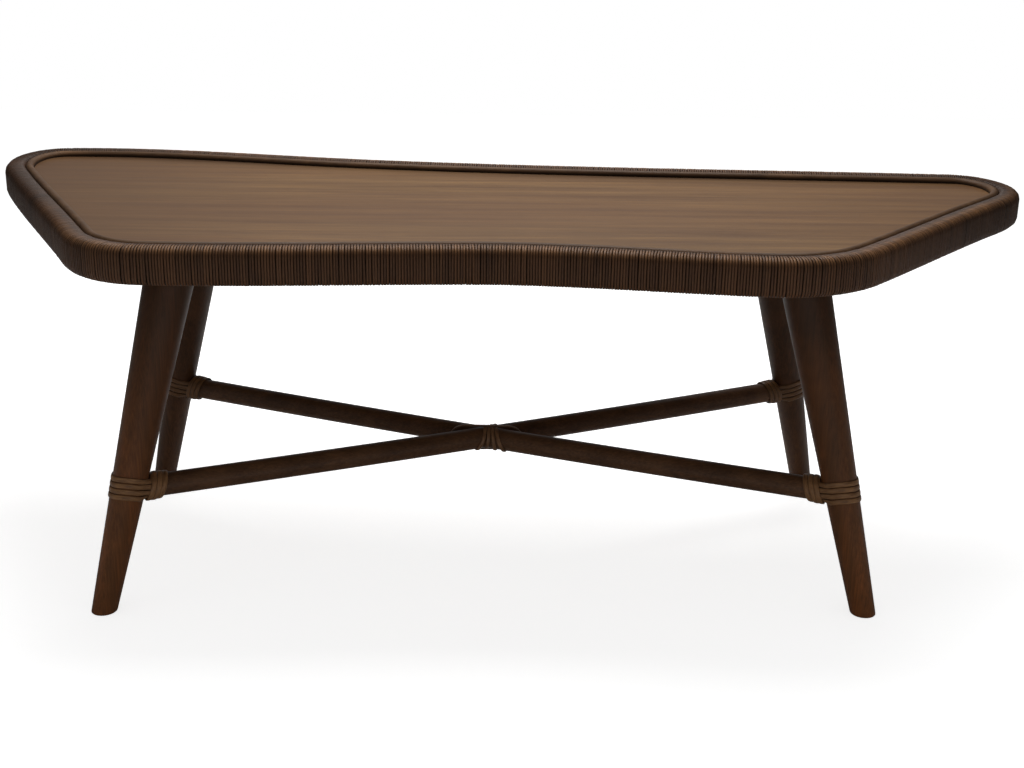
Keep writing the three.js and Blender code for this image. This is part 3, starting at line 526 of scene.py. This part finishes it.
# %% Finishes on the solids
SOLID_FINISHES = {
    "top_veneer": veneer_finish, "top_panel": ply_finish, "rim_core": bare_finish,
    "cleat_panel": steel_finish, "cleat_rim": steel_finish, "rail_screw": steel_finish,
    "leg_wedge": bare_finish, "leg_rail": rail_finish, "cleat": rail_finish,
}
kept_solids = [name for name in nodes if name.startswith(tuple(SOLID_FINISHES))]
for name in kept_solids:
    finish = next(SOLID_FINISHES[start] for start in SOLID_FINISHES if name.startswith(start))
    nodes[name].data.materials.clear()
    nodes[name].data.materials.append(finish)
print("solids with a finish:", len(kept_solids))


# %% [markdown]
# A few helpers for modelling. A new primitive is shaped in edit mode, where faces and edges are
# picked by their place. A finished piece has its place in its mesh and its origin at the world's
# origin, as the solids have.

# %% Helpers for modelling
def choose(piece):
    """Operators act on what is selected, so only this piece stays selected."""
    bpy.ops.object.select_all(action="DESELECT")
    piece.select_set(True)
    bpy.context.view_layer.objects.active = piece


def edit_mode(on):
    bpy.ops.object.mode_set(mode="EDIT" if on else "OBJECT")


def pick(piece, kind, test):
    """In edit mode, selects the faces or edges of piece for which test is true."""
    bpy.ops.mesh.select_mode(type=kind)
    mesh = bmesh.from_edit_mesh(piece.data)
    for element in [*mesh.verts, *mesh.edges, *mesh.faces]:
        element.select = False
    for element in mesh.edges if kind == "EDGE" else mesh.faces:
        if test(element):
            element.select_set(True)
    mesh.select_flush_mode()
    bmesh.update_edit_mesh(piece.data)


def middle(element):
    return sum((vertex.co for vertex in element.verts), Vector()) / len(element.verts)


def runs_along_x(edge):
    return abs((edge.verts[1].co - edge.verts[0].co).normalized().x) > 0.99


def remove_ends(piece):
    """In edit mode, removes the two faces that close a bar along X."""
    pick(piece, "FACE", lambda face: abs(face.normal.x) > 0.9)
    bpy.ops.mesh.delete(type="FACE")


def turn_faces_out():
    """Leaves edit mode with all faces pointing outwards."""
    bpy.ops.mesh.select_all(action="SELECT")
    bpy.ops.mesh.normals_make_consistent(inside=False)
    edit_mode(False)


def settle(piece):
    """Puts the piece's place, turn and scale into its mesh."""
    choose(piece)
    bpy.ops.object.transform_apply(location=True, rotation=True, scale=True)


def use_modifier(piece, kind, **values):
    modifier = piece.modifiers.new(kind.lower(), kind)
    for name, value in values.items():
        setattr(modifier, name, value)
    choose(piece)
    bpy.ops.object.modifier_apply(modifier=modifier.name)


def repeat_along_x(piece, count, step, **more):
    use_modifier(piece, "ARRAY", count=count, use_relative_offset=False, use_constant_offset=True,
                 constant_offset_displace=(step, 0, 0), **more)


def hand_over(piece, name, finish, stands_for):
    piece.name = name
    piece.data.name = name
    piece.data.materials.clear()
    piece.data.materials.append(finish)
    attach(piece, "root")
    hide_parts(*stands_for)
    print(f"{name}: {len(piece.data.polygons)} faces")


# %% [markdown]
# The winding and the bead both follow the rim, so they are modelled straight along X and then led
# along a path by a Curve modifier. The path is the outline of the top, moved in by a distance. It
# is flat, so the modifier keeps the pieces upright.

# %% Path of a side of the rim
PATH_STEPS = 40


def heading_way(heading):
    return Vector((math.cos(math.radians(heading)), math.sin(math.radians(heading))))


def outline_place(index):
    x, y, heading = OUTLINE[index % len(OUTLINE)]
    return Vector((x * TOP_LENGTH, y * TOP_DEPTH)) + MIDDLE, heading


def outline_stretch(index):
    """Points of the curve from one place to the next, each with the way forward."""
    start, heading = outline_place(index)
    end, next_heading = outline_place(index + 1)
    turn = math.radians(abs(next_heading - heading) % 360)
    turn = min(turn, 2 * math.pi - turn)
    handle = (end - start).length * (2 / 3) * math.tan(turn / 4) / math.sin(turn / 2)
    a, b = start, start + heading_way(heading) * handle
    c, d = end - heading_way(next_heading) * handle, end
    for step in range(PATH_STEPS + 1):
        t = step / PATH_STEPS
        s = 1 - t
        point = a * s ** 3 + b * (3 * s * s * t) + c * (3 * s * t * t) + d * t ** 3
        forward = (b - a) * (s * s) + (c - b) * (2 * s * t) + (d - c) * (t * t)
        yield point, forward.normalized()


def side_points(side, inset):
    first, stretches = RIM_SIDES[side]
    points = []
    for k in range(stretches):
        for step, (point, forward) in enumerate(outline_stretch(first + k)):
            if step or not k:
                points.append(point + Vector((forward.y, -forward.x)) * inset)
    return points


def flat_path(points):
    data = bpy.data.curves.new("rim_path", "CURVE")
    data.dimensions = "2D"
    data.fill_mode = "NONE"
    spline = data.splines.new("POLY")
    spline.points.add(len(points) - 1)
    for place, point in zip(spline.points, points):
        place.co = (point.x, point.y, 0, 1)
    length = sum((b - a).length for a, b in zip(points, points[1:]))
    return add_object("rim_path", data), length


def lead_along(piece, path):
    use_modifier(piece, "CURVE", object=path, deform_axis="POS_X")
    curve = path.data
    bpy.data.objects.remove(path)
    bpy.data.curves.remove(curve)


# %% [markdown]
# One turn of the winding starts as a box that is one turn wide, and as deep and high as the rim.
# Its long edges are bevelled to the rim's rounded section and its two ends are removed, which
# leaves a flat band. Insetting the band with a depth raises its middle, so that it becomes a round
# strand, and bridging its two borders closes it. The band is a little wider than one turn's place,
# so that neighbours lap and no light shows between them. A turn has only a few dozen faces, because
# there are over a thousand turns.

# %% One turn of the winding
TURN_PITCH, TURN_LAP = 3.35 * MM, 0.3 * MM
CREST = 1.15 * MM
BOX_MARGIN, TOP_MARGIN = 0.6 * MM, 0.1 * MM
OUTER_ROUND, INNER_TOP_ROUND, INNER_BOTTOM_ROUND = 11 * MM, 7 * MM, 5 * MM
CORNERS = ((True, (True, False), OUTER_ROUND), (False, (True,), INNER_TOP_ROUND),
           (False, (False,), INNER_BOTTOM_ROUND))


def at_corner(edge, outer, uppers):
    """Whether edge is a long corner of the box, outer or inner, and at one of the asked heights."""
    y, height = middle(edge).y, middle(edge).z - RIM_MIDDLE
    far_out = abs(y) > 0.3 * RIM_WIDTH and abs(height) > 0.3 * RIM_HEIGHT
    return runs_along_x(edge) and far_out and (y > 0) == outer and (height > 0) in uppers


def one_turn():
    turn = start_with(bpy.ops.mesh.primitive_cube_add, size=1, calc_uvs=False,
                      location=(TURN_PITCH / 2, 0, RIM_MIDDLE))
    turn.scale = (TURN_PITCH + 2 * TURN_LAP, RIM_WIDTH - 2 * CREST - BOX_MARGIN,
                  RIM_HEIGHT - 2 * CREST - TOP_MARGIN)
    turn.location.y -= BOX_MARGIN / 2
    settle(turn)
    edit_mode(True)
    for outer, uppers, radius in CORNERS:
        pick(turn, "EDGE", lambda edge: at_corner(edge, outer, uppers))
        bpy.ops.mesh.bevel(offset=radius - CREST, segments=3, affect="EDGES", clamp_overlap=False)
    remove_ends(turn)
    pick(turn, "FACE", lambda face: True)
    bpy.ops.mesh.inset(thickness=TURN_PITCH * 0.25 + TURN_LAP, depth=CREST, use_boundary=True)
    pick(turn, "EDGE", lambda edge: edge.is_boundary)
    bpy.ops.mesh.bridge_edge_loops()
    turn_faces_out()
    return turn


def map_turn(turn):
    """U runs across the turn, and V once round the rim from the middle of its outer face."""
    layer = turn.data.uv_layers.new(name="turns")
    for face in turn.data.polygons:
        places = [turn.data.vertices[vertex].co for vertex in face.vertices]
        rounds = [math.atan2(place.z - RIM_MIDDLE, place.y) / (2 * math.pi) for place in places]
        if max(rounds) - min(rounds) > 0.5:
            rounds = [value + 1 if value < 0 else value for value in rounds]
        for corner, place, value in zip(face.loop_indices, places, rounds):
            across = min(0.98, max(0.02, place.x / TURN_PITCH))
            layer.data[corner].uv = (across, value)


pattern_turn = one_turn()
map_turn(pattern_turn)
print("faces in a turn:", len(pattern_turn.data.polygons))

# %% [markdown]
# An Array modifier repeats the turn and counts it in the UV map. No two turns of a hand winding lie
# quite alike, so each gets a small random lean, bow and sink, in millimetres, from a fixed seed.
# Then the Curve modifier leads the row round the rim.

# %% The four lengths of winding
LEAN, BOW, SINK, MOST = 0.14, 0.16, 0.12, 0.4
END_MARGIN = 0.1 * MM
chance = np.random.default_rng(7)
turn_total = 0
for side in RIM_SIDES:
    path, length = flat_path(side_points(side, RIM_WIDTH / 2))
    count = round(length / TURN_PITCH)
    row = add_object("winding_row", pattern_turn.data.copy())
    repeat_along_x(row, count, TURN_PITCH, offset_u=1.0)
    places = np.zeros(len(row.data.vertices) * 3)
    row.data.vertices.foreach_get("co", places)
    places = places.reshape(count, -1, 3)
    rise = (places[:, :, 2] - RIM_MIDDLE) / RIM_HEIGHT
    lean = np.clip(chance.normal(0, LEAN, (count, 1)), -MOST, MOST) * MM
    bow = np.clip(chance.normal(0, BOW, (count, 1)), -MOST, MOST) * MM
    places[:, :, 0] += lean * 2 * rise + bow * np.sin(places[:, :, 1] / RIM_WIDTH * math.pi)
    sink = np.abs(chance.normal(0, SINK, (count, 1))) * MM
    inward = np.stack([np.zeros_like(rise), -places[:, :, 1] / RIM_WIDTH, -rise], axis=2)
    places += inward * 2 * sink[:, :, None]
    places[:, :, 0] = np.clip(places[:, :, 0], END_MARGIN, count * TURN_PITCH - END_MARGIN)
    places[:, :, 0] *= length / (count * TURN_PITCH)
    row.data.vertices.foreach_set("co", places.ravel())
    lead_along(row, path)
    row.data.polygons.foreach_set("use_smooth", [True] * len(row.data.polygons))
    hand_over(row, f"winding_{side}", winding_finish, [f"rim_winding_{side}"])
    turn_total += count
    print(f"winding_{side}: {count} turns, {length:.3f} m")
bpy.data.objects.remove(pattern_turn)
print("turns in all:", turn_total)

# %% [markdown]
# The bead is a smooth half-round strip that covers the joint of the winding and the veneer. It
# starts as a short box whose two upper edges are bevelled round. Repeated and merged into one long
# bar, it follows the rim as the winding does, and its ends are closed.

# %% Bead
BEAD_WIDTH, BEAD_TOP, BEAD_SLICE = 10.8 * MM, 456.7 * MM, 5 * MM
BEAD_GAP, BEAD_FLAT = 0.1 * MM, 0.1 * MM
BEAD_BOTTOM = VENEER_TOP - 0.8 * MM
for side in RIM_SIDES:
    path, length = flat_path(side_points(side, RIM_WIDTH + BEAD_GAP + BEAD_WIDTH / 2))
    count = round(length / BEAD_SLICE)
    slice_length = length / count
    bead = start_with(bpy.ops.mesh.primitive_cube_add, size=1,
                      location=(slice_length / 2, 0, (BEAD_TOP + BEAD_BOTTOM) / 2))
    bead.scale = (slice_length, BEAD_WIDTH, BEAD_TOP - BEAD_BOTTOM)
    settle(bead)
    edit_mode(True)
    pick(bead, "EDGE", lambda edge: runs_along_x(edge) and middle(edge).z > VENEER_TOP)
    bpy.ops.mesh.bevel(offset=BEAD_WIDTH / 2 - BEAD_FLAT, segments=6, affect="EDGES")
    remove_ends(bead)
    edit_mode(False)
    repeat_along_x(bead, count, slice_length, use_merge_vertices=True, merge_threshold=0.05 * MM)
    edit_mode(True)
    pick(bead, "EDGE", lambda edge: edge.is_boundary)
    bpy.ops.mesh.edge_face_add()
    turn_faces_out()
    lead_along(bead, path)
    bpy.ops.object.shade_smooth_by_angle(angle=math.radians(50))
    hand_over(bead, f"bead_{side}", bead_finish, [f"inner_bead_{side}"])

# %% [markdown]
# The legs are turned on a lathe: a long taper, with a small round where the foot meets the floor.
# Each starts as a cone along Z, and gets a tenon by insetting and extruding its top. It is then
# turned to its splay, cut level at the floor, bevelled there, and cut level again just below the
# panel.

# %% Legs
LEG_TAPER = (LEG_SHOULDER_RADIUS - LEG_FOOT_RADIUS) / RAIL_BOTTOM
BELOW_FLOOR, FOOT_ROUND, TENON_GAP = 8 * MM, 1.6 * MM, 0.3 * MM
TENON_RADIUS, TENON_LENGTH = 14 * MM, (PANEL_BOTTOM - RAIL_BOTTOM) * 0.98


def leg_radius(height):
    return LEG_FOOT_RADIUS + LEG_TAPER * height


def leg_line(name):
    """The middle of a leg's foot, and how far its axis moves for each metre up."""
    x, y, side, end = FEET[name]
    foot = Vector((x * TOP_LENGTH + MIDDLE.x, y * TOP_DEPTH + MIDDLE.y, 0))
    return foot, Vector((-side * SIDE_SPLAY, -end * END_SPLAY, 1))


for name in FEET:
    foot, rise = leg_line(name)
    stretch = rise.length
    length = (RAIL_BOTTOM + BELOW_FLOOR) * stretch
    leg = start_with(bpy.ops.mesh.primitive_cone_add, vertices=64, depth=length,
                     radius1=leg_radius(-BELOW_FLOOR), radius2=LEG_SHOULDER_RADIUS,
                     location=(0, 0, length / 2 - BELOW_FLOOR * stretch))
    edit_mode(True)
    pick(leg, "FACE", lambda face: face.normal.z > 0.9)
    bpy.ops.mesh.inset(thickness=LEG_SHOULDER_RADIUS - TENON_RADIUS)
    bpy.ops.mesh.extrude_region_move(TRANSFORM_OT_translate={"value": (0, 0, TENON_LENGTH)})
    edit_mode(False)
    settle(leg)
    leg.rotation_mode = "QUATERNION"
    leg.rotation_quaternion = rise.to_track_quat("Z", "Y")
    leg.location = foot
    settle(leg)
    edit_mode(True)
    bpy.ops.mesh.select_all(action="SELECT")
    bpy.ops.mesh.bisect(plane_co=(0, 0, 0), plane_no=(0, 0, 1), use_fill=True, clear_inner=True)
    pick(leg, "EDGE", lambda edge: all(abs(vertex.co.z) < 0.01 * MM for vertex in edge.verts))
    bpy.ops.mesh.bevel(offset=FOOT_ROUND, segments=3, affect="EDGES")
    bpy.ops.mesh.select_all(action="SELECT")
    bpy.ops.mesh.bisect(plane_co=(0, 0, PANEL_BOTTOM - TENON_GAP), plane_no=(0, 0, 1),
                        use_fill=True, clear_outer=True)
    edit_mode(False)
    bpy.ops.object.shade_smooth_by_angle(angle=math.radians(35))
    finish = shaded_rear_leg_finish if "rear" in name else leg_finish
    hand_over(leg, f"turned_leg_{name}", finish, [f"leg_{name}"])

# %% [markdown]
# A pole is a long cylinder with many rings, so that it can sag. A Curve modifier leads it along a
# Bezier curve whose two inner handles hang lower, as a pole sags over the years.

# %% Poles
POLE_RINGS, CURVE_STEPS, OUTER_HANDLE = 40, 48, 100 * MM
POLES = {"pole_over": ("front_left", "rear_right"), "pole_under": ("front_right", "rear_left")}


def pole_line(start_leg, end_leg):
    start, end = [foot + rise * POLE_HEIGHT for foot, rise in map(leg_line, (start_leg, end_leg))]
    return start, (end - start).normalized(), (end - start).length


for name, legs in POLES.items():
    start, way, length = pole_line(*legs)
    pole = start_with(bpy.ops.mesh.primitive_cylinder_add, vertices=40, radius=POLE_RADIUS,
                      depth=length, location=(length / 2, 0, 0), rotation=UPRIGHT)
    settle(pole)
    edit_mode(True)
    pick(pole, "EDGE", runs_along_x)
    bpy.ops.mesh.subdivide(number_cuts=POLE_RINGS)
    edit_mode(False)
    data = bpy.data.curves.new("pole_path", "CURVE")
    data.dimensions = "3D"
    data.twist_mode = "Z_UP"
    data.resolution_u = CURVE_STEPS
    spline = data.splines.new("BEZIER")
    spline.bezier_points.add(1)
    end, drop = start + way * length, Vector((0, 0, -POLE_SAG * 4 / 3))
    knots = ((start - way * OUTER_HANDLE, start, start + way * (length / 3) + drop),
             (start + way * (length * 2 / 3) + drop, end, end + way * OUTER_HANDLE))
    for knot, (handle_left, place, handle_right) in zip(spline.bezier_points, knots):
        knot.handle_left_type = knot.handle_right_type = "FREE"
        knot.co, knot.handle_left, knot.handle_right = place, handle_left, handle_right
    lead_along(pole, add_object("pole_path", data))
    bpy.ops.object.shade_smooth_by_angle(angle=math.radians(40))
    hand_over(pole, f"round_{name}", pole_finish, [name])

# %% [markdown]
# A lashing is one flat strip that goes round and round. No operator lays a strip along such a way
# with its flat side down, so its places are worked out from the leg and the pole it holds, and a
# rounded section is carried along them. The ways are those of the solids in finer steps, but follow
# the photograph more closely where it shows them.

# %% Strip along a way
PROFILE = [(-0.5, -0.35), (-0.49, 0.05), (-0.4, 0.32), (-0.2, 0.46), (0, 0.5), (0.2, 0.46),
           (0.4, 0.32), (0.49, 0.05), (0.5, -0.35), (0.4, -0.5), (-0.4, -0.5)]


def strip(places, width, thickness):
    """places: pairs of a point and the way that faces out. Returns a closed ribbon."""
    size = len(PROFILE)
    vertices, reach = [], [0.0]
    for k, (point, out) in enumerate(places):
        before, after = places[max(k - 1, 0)][0], places[min(k + 1, len(places) - 1)][0]
        forward = (after - before).normalized()
        across = forward.cross(out).normalized()
        up = across.cross(forward).normalized()
        vertices += [point + across * (a * width) + up * (b * thickness) for a, b in PROFILE]
        if k:
            reach.append(reach[-1] + (point - places[k - 1][0]).length)
    faces, corners = [], []
    for ring in range(len(places) - 1):
        for k in range(size):
            a, b = ring * size + k, ring * size + (k + 1) % size
            faces.append((a, b, b + size, a + size))
            corners += [(reach[at] / width, side / size) for at, side in
                        ((ring, k), (ring, k + 1), (ring + 1, k + 1), (ring + 1, k))]
    last = (len(places) - 1) * size
    faces += [tuple(reversed(range(size))), tuple(range(last, last + size))]
    corners += [(0, k / size) for k in reversed(range(size))]
    corners += [(reach[-1] / width, k / size) for k in range(size)]
    mesh = bpy.data.meshes.new("strip")
    mesh.from_pydata(vertices, [], faces)
    layer = mesh.uv_layers.new(name="strip")
    for corner, place in zip(layer.data, corners):
        corner.uv = place
    piece = add_object("strip", mesh)
    choose(piece)
    edit_mode(True)
    turn_faces_out()
    bpy.ops.object.shade_smooth_by_angle(angle=math.radians(50))
    return piece


# %% [markdown]
# At each joint the strip goes round the outside of the leg, along the pole's flanks, and turns back
# below or above the pole. The turns lie square to the leg, as they do in the photograph. The lower
# strip then winds round the pole, over the strip's own turning places, and sinks to the pole's
# surface as it moves away from them. Lengths are measured along the pole from the leg's axis, and
# angles round the pole from the side that looks at the camera.

# %% Places of a joint lashing
PEEL_WIDTH, PEEL_THICKNESS, PEEL_GAP = 6.3 * MM, 1.7 * MM, 0.3 * MM
LASHING_PITCH, TURN_BACK_ROUND = 7 * MM, 3.4 * MM
STAND_OFF = PEEL_GAP + PEEL_THICKNESS / 2
POLE_REACH = POLE_RADIUS + STAND_OFF + 0.05 * MM
CORNER_ANGLE = TURN_BACK_ROUND / POLE_REACH
RISE_SHARE, FRONT_RISE_SHARE = 0.3, 0.7
ROUND_STEPS, CORNER_STEPS = 40, 5


def sagging(start, way, length, along):
    share = along / length
    return start + way * along + Vector((0, 0, -4 * POLE_SAG * share * (1 - share)))


def flank_angle(level):
    return level * LASHING_PITCH / (POLE_RADIUS + STAND_OFF)


class Joint:
    """Where a leg and a pole meet, and the places of a strip laid from there."""

    def __init__(self, leg):
        self.foot, self.rise = leg_line(leg)
        self.axis = self.rise.normalized()
        ends = next(pair for pair in POLES.values() if leg in pair)
        self.start, self.way, self.length = pole_line(*ends)
        self.at_start = ends[0] == leg
        self.away = self.way if self.at_start else -self.way
        lean = self.away.dot(self.axis)
        self.upward = self.axis - self.away * lean
        self.stretch = 1 / self.upward.length
        self.upward.normalize()
        self.front = self.upward.cross(self.away)
        if self.front.y > 0:
            self.front.negate()
        self.slope = lean * self.stretch
        self.places = []

    def vector(self, along, sideways, height):
        return self.away * along + self.front * sideways + self.upward * height

    def on_pole(self, length, angle, above=0.0):
        """Lays one place on the pole."""
        along = length + self.slope * POLE_REACH * math.sin(angle)
        from_start = along if self.at_start else self.length - along
        out = self.vector(0, math.cos(angle), math.sin(angle))
        centre = sagging(self.start, self.way, self.length, from_start)
        self.places.append((centre + out * (POLE_REACH + above), out))

    def round_leg(self, level, from_length, to_length):
        """Goes round the leg, a number of pitches above the pole's middle."""
        height = level * LASHING_PITCH
        radius = leg_radius(POLE_HEIGHT + height)
        centre = self.foot + self.rise * POLE_HEIGHT + self.vector(self.slope * height, 0, height)
        reach = radius + STAND_OFF
        flank = POLE_REACH * math.cos(flank_angle(level))
        first, last = [math.atan2(flank, run) + math.acos(min(1, reach / math.hypot(flank, run)))
                       for run in (from_length, to_length)]
        span = 2 * math.pi - first - last
        for step in range(ROUND_STEPS + 1):
            angle = first + span * step / ROUND_STEPS
            arm = self.vector(self.stretch * math.cos(angle), math.sin(angle), 0)
            out = (arm - self.axis * arm.dot(self.axis)).normalized()
            share = RISE_SHARE + FRONT_RISE_SHARE * math.sin(angle) ** 2 - math.cos(angle)
            lift = self.axis * (radius * self.slope * share)
            self.places.append((centre + arm * radius + out * STAND_OFF + lift, out))

    def corner(self, length, angle, way, leaving):
        """Turns from the flank's way to the way round the pole, or back."""
        for step in range(CORNER_STEPS + 1):
            turn = math.pi / 2 * (step if leaving else CORNER_STEPS - step) / CORNER_STEPS
            drop = TURN_BACK_ROUND * (1 - math.cos(turn)) / POLE_REACH
            self.on_pole(length - TURN_BACK_ROUND * (1 - math.sin(turn)), angle + way * drop)

    def round_pole(self, from_length, to_length, from_angle, to_angle, layer=0.0, shift=0.0):
        """Winds round the pole. It climbs to layer above the pole at first, and then sinks."""
        steps = math.ceil(abs(to_angle - from_angle) * ROUND_STEPS / (2 * math.pi))
        for step in range(1, steps):
            share = step / steps
            start = min(1, share * 12)
            climb = start * (1 - 0.75 * max(0, share - 0.4) / 0.6)
            self.on_pole(from_length + (to_length - from_length) * share - shift * start,
                         from_angle + (to_angle - from_angle) * share, layer * climb)

    def turn_back(self, length, start, end, way):
        """Goes over or under the pole from one flank to the other."""
        self.corner(length, start, way, True)
        self.round_pole(length, length, start + way * CORNER_ANGLE, end - way * CORNER_ANGLE)
        self.corner(length, end, -way, False)


# %% [markdown]
# A joint has two strips. Both go round the leg twice, at half a pitch and at one and a half pitches
# from the pole's middle, one below it and one above. The lower one ends in turns round the pole.

# %% Joint lashings
POLE_TURNS, POLE_TURN_PITCH, POLE_TURN_SHIFT = 3, 6.4 * MM, 3.6 * MM
FIRST_TURN_OUT, SECOND_TURN_OUT, TAIL_BACK = 4.4 * MM, 1.8 * MM, 4.6 * MM
for leg in FEET:
    low, high = Joint(leg), Joint(leg)
    first_turn = leg_radius(POLE_HEIGHT) * low.stretch + FIRST_TURN_OUT
    second_turn = first_turn + SECOND_TURN_OUT
    short_tail = first_turn - TAIL_BACK
    first_run, second_run = first_turn - TURN_BACK_ROUND, second_turn - TURN_BACK_ROUND
    low.on_pole(short_tail, flank_angle(-1.5))
    low.round_leg(-1.5, short_tail, first_run)
    low.turn_back(first_turn, math.pi - flank_angle(-1.5), 2 * math.pi + flank_angle(-0.5), 1)
    low.round_leg(-0.5, first_run, second_run)
    start_angle = math.pi - flank_angle(-0.5)
    low.corner(second_turn, start_angle, 1, True)
    low.round_pole(second_turn, second_turn + POLE_TURN_PITCH * POLE_TURNS,
                   start_angle + CORNER_ANGLE, start_angle + 2 * math.pi * POLE_TURNS,
                   PEEL_THICKNESS, POLE_TURN_SHIFT)
    high.on_pole(second_run, flank_angle(0.5))
    high.round_leg(0.5, second_run, first_run)
    high.turn_back(first_turn, math.pi - flank_angle(0.5), flank_angle(1.5), -1)
    high.round_leg(1.5, first_run, short_tail)
    high.on_pole(short_tail, math.pi - flank_angle(1.5))
    finish = shaded_rear_peel_finish if "rear" in leg else joint_peel_finish
    for part, joint in (("lower", low), ("upper", high)):
        piece = strip(joint.places, PEEL_WIDTH, PEEL_THICKNESS)
        hand_over(piece, f"peel_{part}_{leg}", finish, [f"lashing_{part}_{leg}"])

# %% [markdown]
# Where the poles cross, a thinner strip goes four times over them from front to back. Its turns lie
# a little right of the crossing and fan out below. A second strip goes once over that from side to
# side.

# %% Cross lashing
CROSS_WIDTH, CROSS_THICKNESS = 4.8 * MM, 1.5 * MM
CROSS_STEPS, CROSS_FAN, CROSS_OFFSET, OUTER_LEVEL = 48, 0.17, 6 * MM, 28 * MM
cross_start, cross_way, cross_length = pole_line(*POLES["pole_over"])
other_start, other_way, _ = pole_line(*POLES["pole_under"])
cross_along = (other_start - cross_start).cross(other_way).z / cross_way.cross(other_way).z
cross_centre = sagging(cross_start, cross_way, cross_length, cross_along)
cross_slope = abs(cross_way.y / cross_way.x)
cross_stand_off = PEEL_GAP + CROSS_THICKNESS / 2


def wind_across(along_way, side_way, turns, pitch, level_at, side_reach, height_reach,
                fan=0.0, offset=0.0):
    """Lays turns along along_way: half ellipses at the sides, and runs that level_at lengthens."""
    places = []
    for step in range(turns * CROSS_STEPS + 1):
        turn, part = divmod(step / CROSS_STEPS, 1)
        along = pitch * (turn + min(1, 2 * part) - turns / 2 - 0.5)
        level = level_at(along + offset)
        arc = math.pi * (side_reach + height_reach) / 2
        way = part * (2 * arc + 4 * level)
        if way < arc:
            angle, side = math.pi * (way / arc - 0.5), 1
        elif way < arc + 2 * level:
            angle, side = math.pi / 2, 1 - (way - arc) / level
        elif way < 2 * arc + 2 * level:
            angle, side = math.pi * ((way - arc - 2 * level) / arc + 0.5), -1
        else:
            angle, side = -math.pi / 2, (way - 2 * arc - 3 * level) / level
        above = math.sin(angle)
        fanned = along * (1 - 3 * fan * above + fan * above ** 2) + offset
        point = (cross_centre + along_way * fanned
                 + side_way * (side * level_at(fanned) + side_reach * math.cos(angle))
                 + Vector((0, 0, height_reach * above)))
        out = side_way * (math.cos(angle) / side_reach) + Vector((0, 0, above / height_reach))
        places.append((point, out.normalized()))
    return strip(places, CROSS_WIDTH, CROSS_THICKNESS)


rightward, backward = Vector((1, 0, 0)), Vector((0, 1, 0))
flank = POLE_RADIUS * math.hypot(1, cross_slope)
inner = wind_across(rightward, backward, 4, 7.4 * MM, lambda along: abs(along) * cross_slope,
                    flank + CROSS_WIDTH / 2 * cross_slope + cross_stand_off,
                    POLE_RADIUS + cross_stand_off, CROSS_FAN, CROSS_OFFSET)
outer = wind_across(backward, rightward, 1, 5 * MM, lambda along: OUTER_LEVEL,
                    (flank + CROSS_WIDTH + 0.5 * MM) / cross_slope + cross_stand_off - OUTER_LEVEL,
                    POLE_RADIUS + cross_stand_off + CROSS_THICKNESS + 0.1 * MM)
for part, piece in (("inner", inner), ("outer", outer)):
    hand_over(piece, f"peel_cross_{part}", cross_peel_finish,
              [f"cross_lashing_{part}"])

# %% [markdown]
# The boxes round the solids and round the dressed table are printed. The dressed table must not be
# larger than its solids.

# %% Sizes and end
dressed_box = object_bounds()
for label, box in (("solids' box:", cad_box), ("dressed box:", dressed_box)):
    print(label, [[round(value, 4) for value in corner] for corner in box])
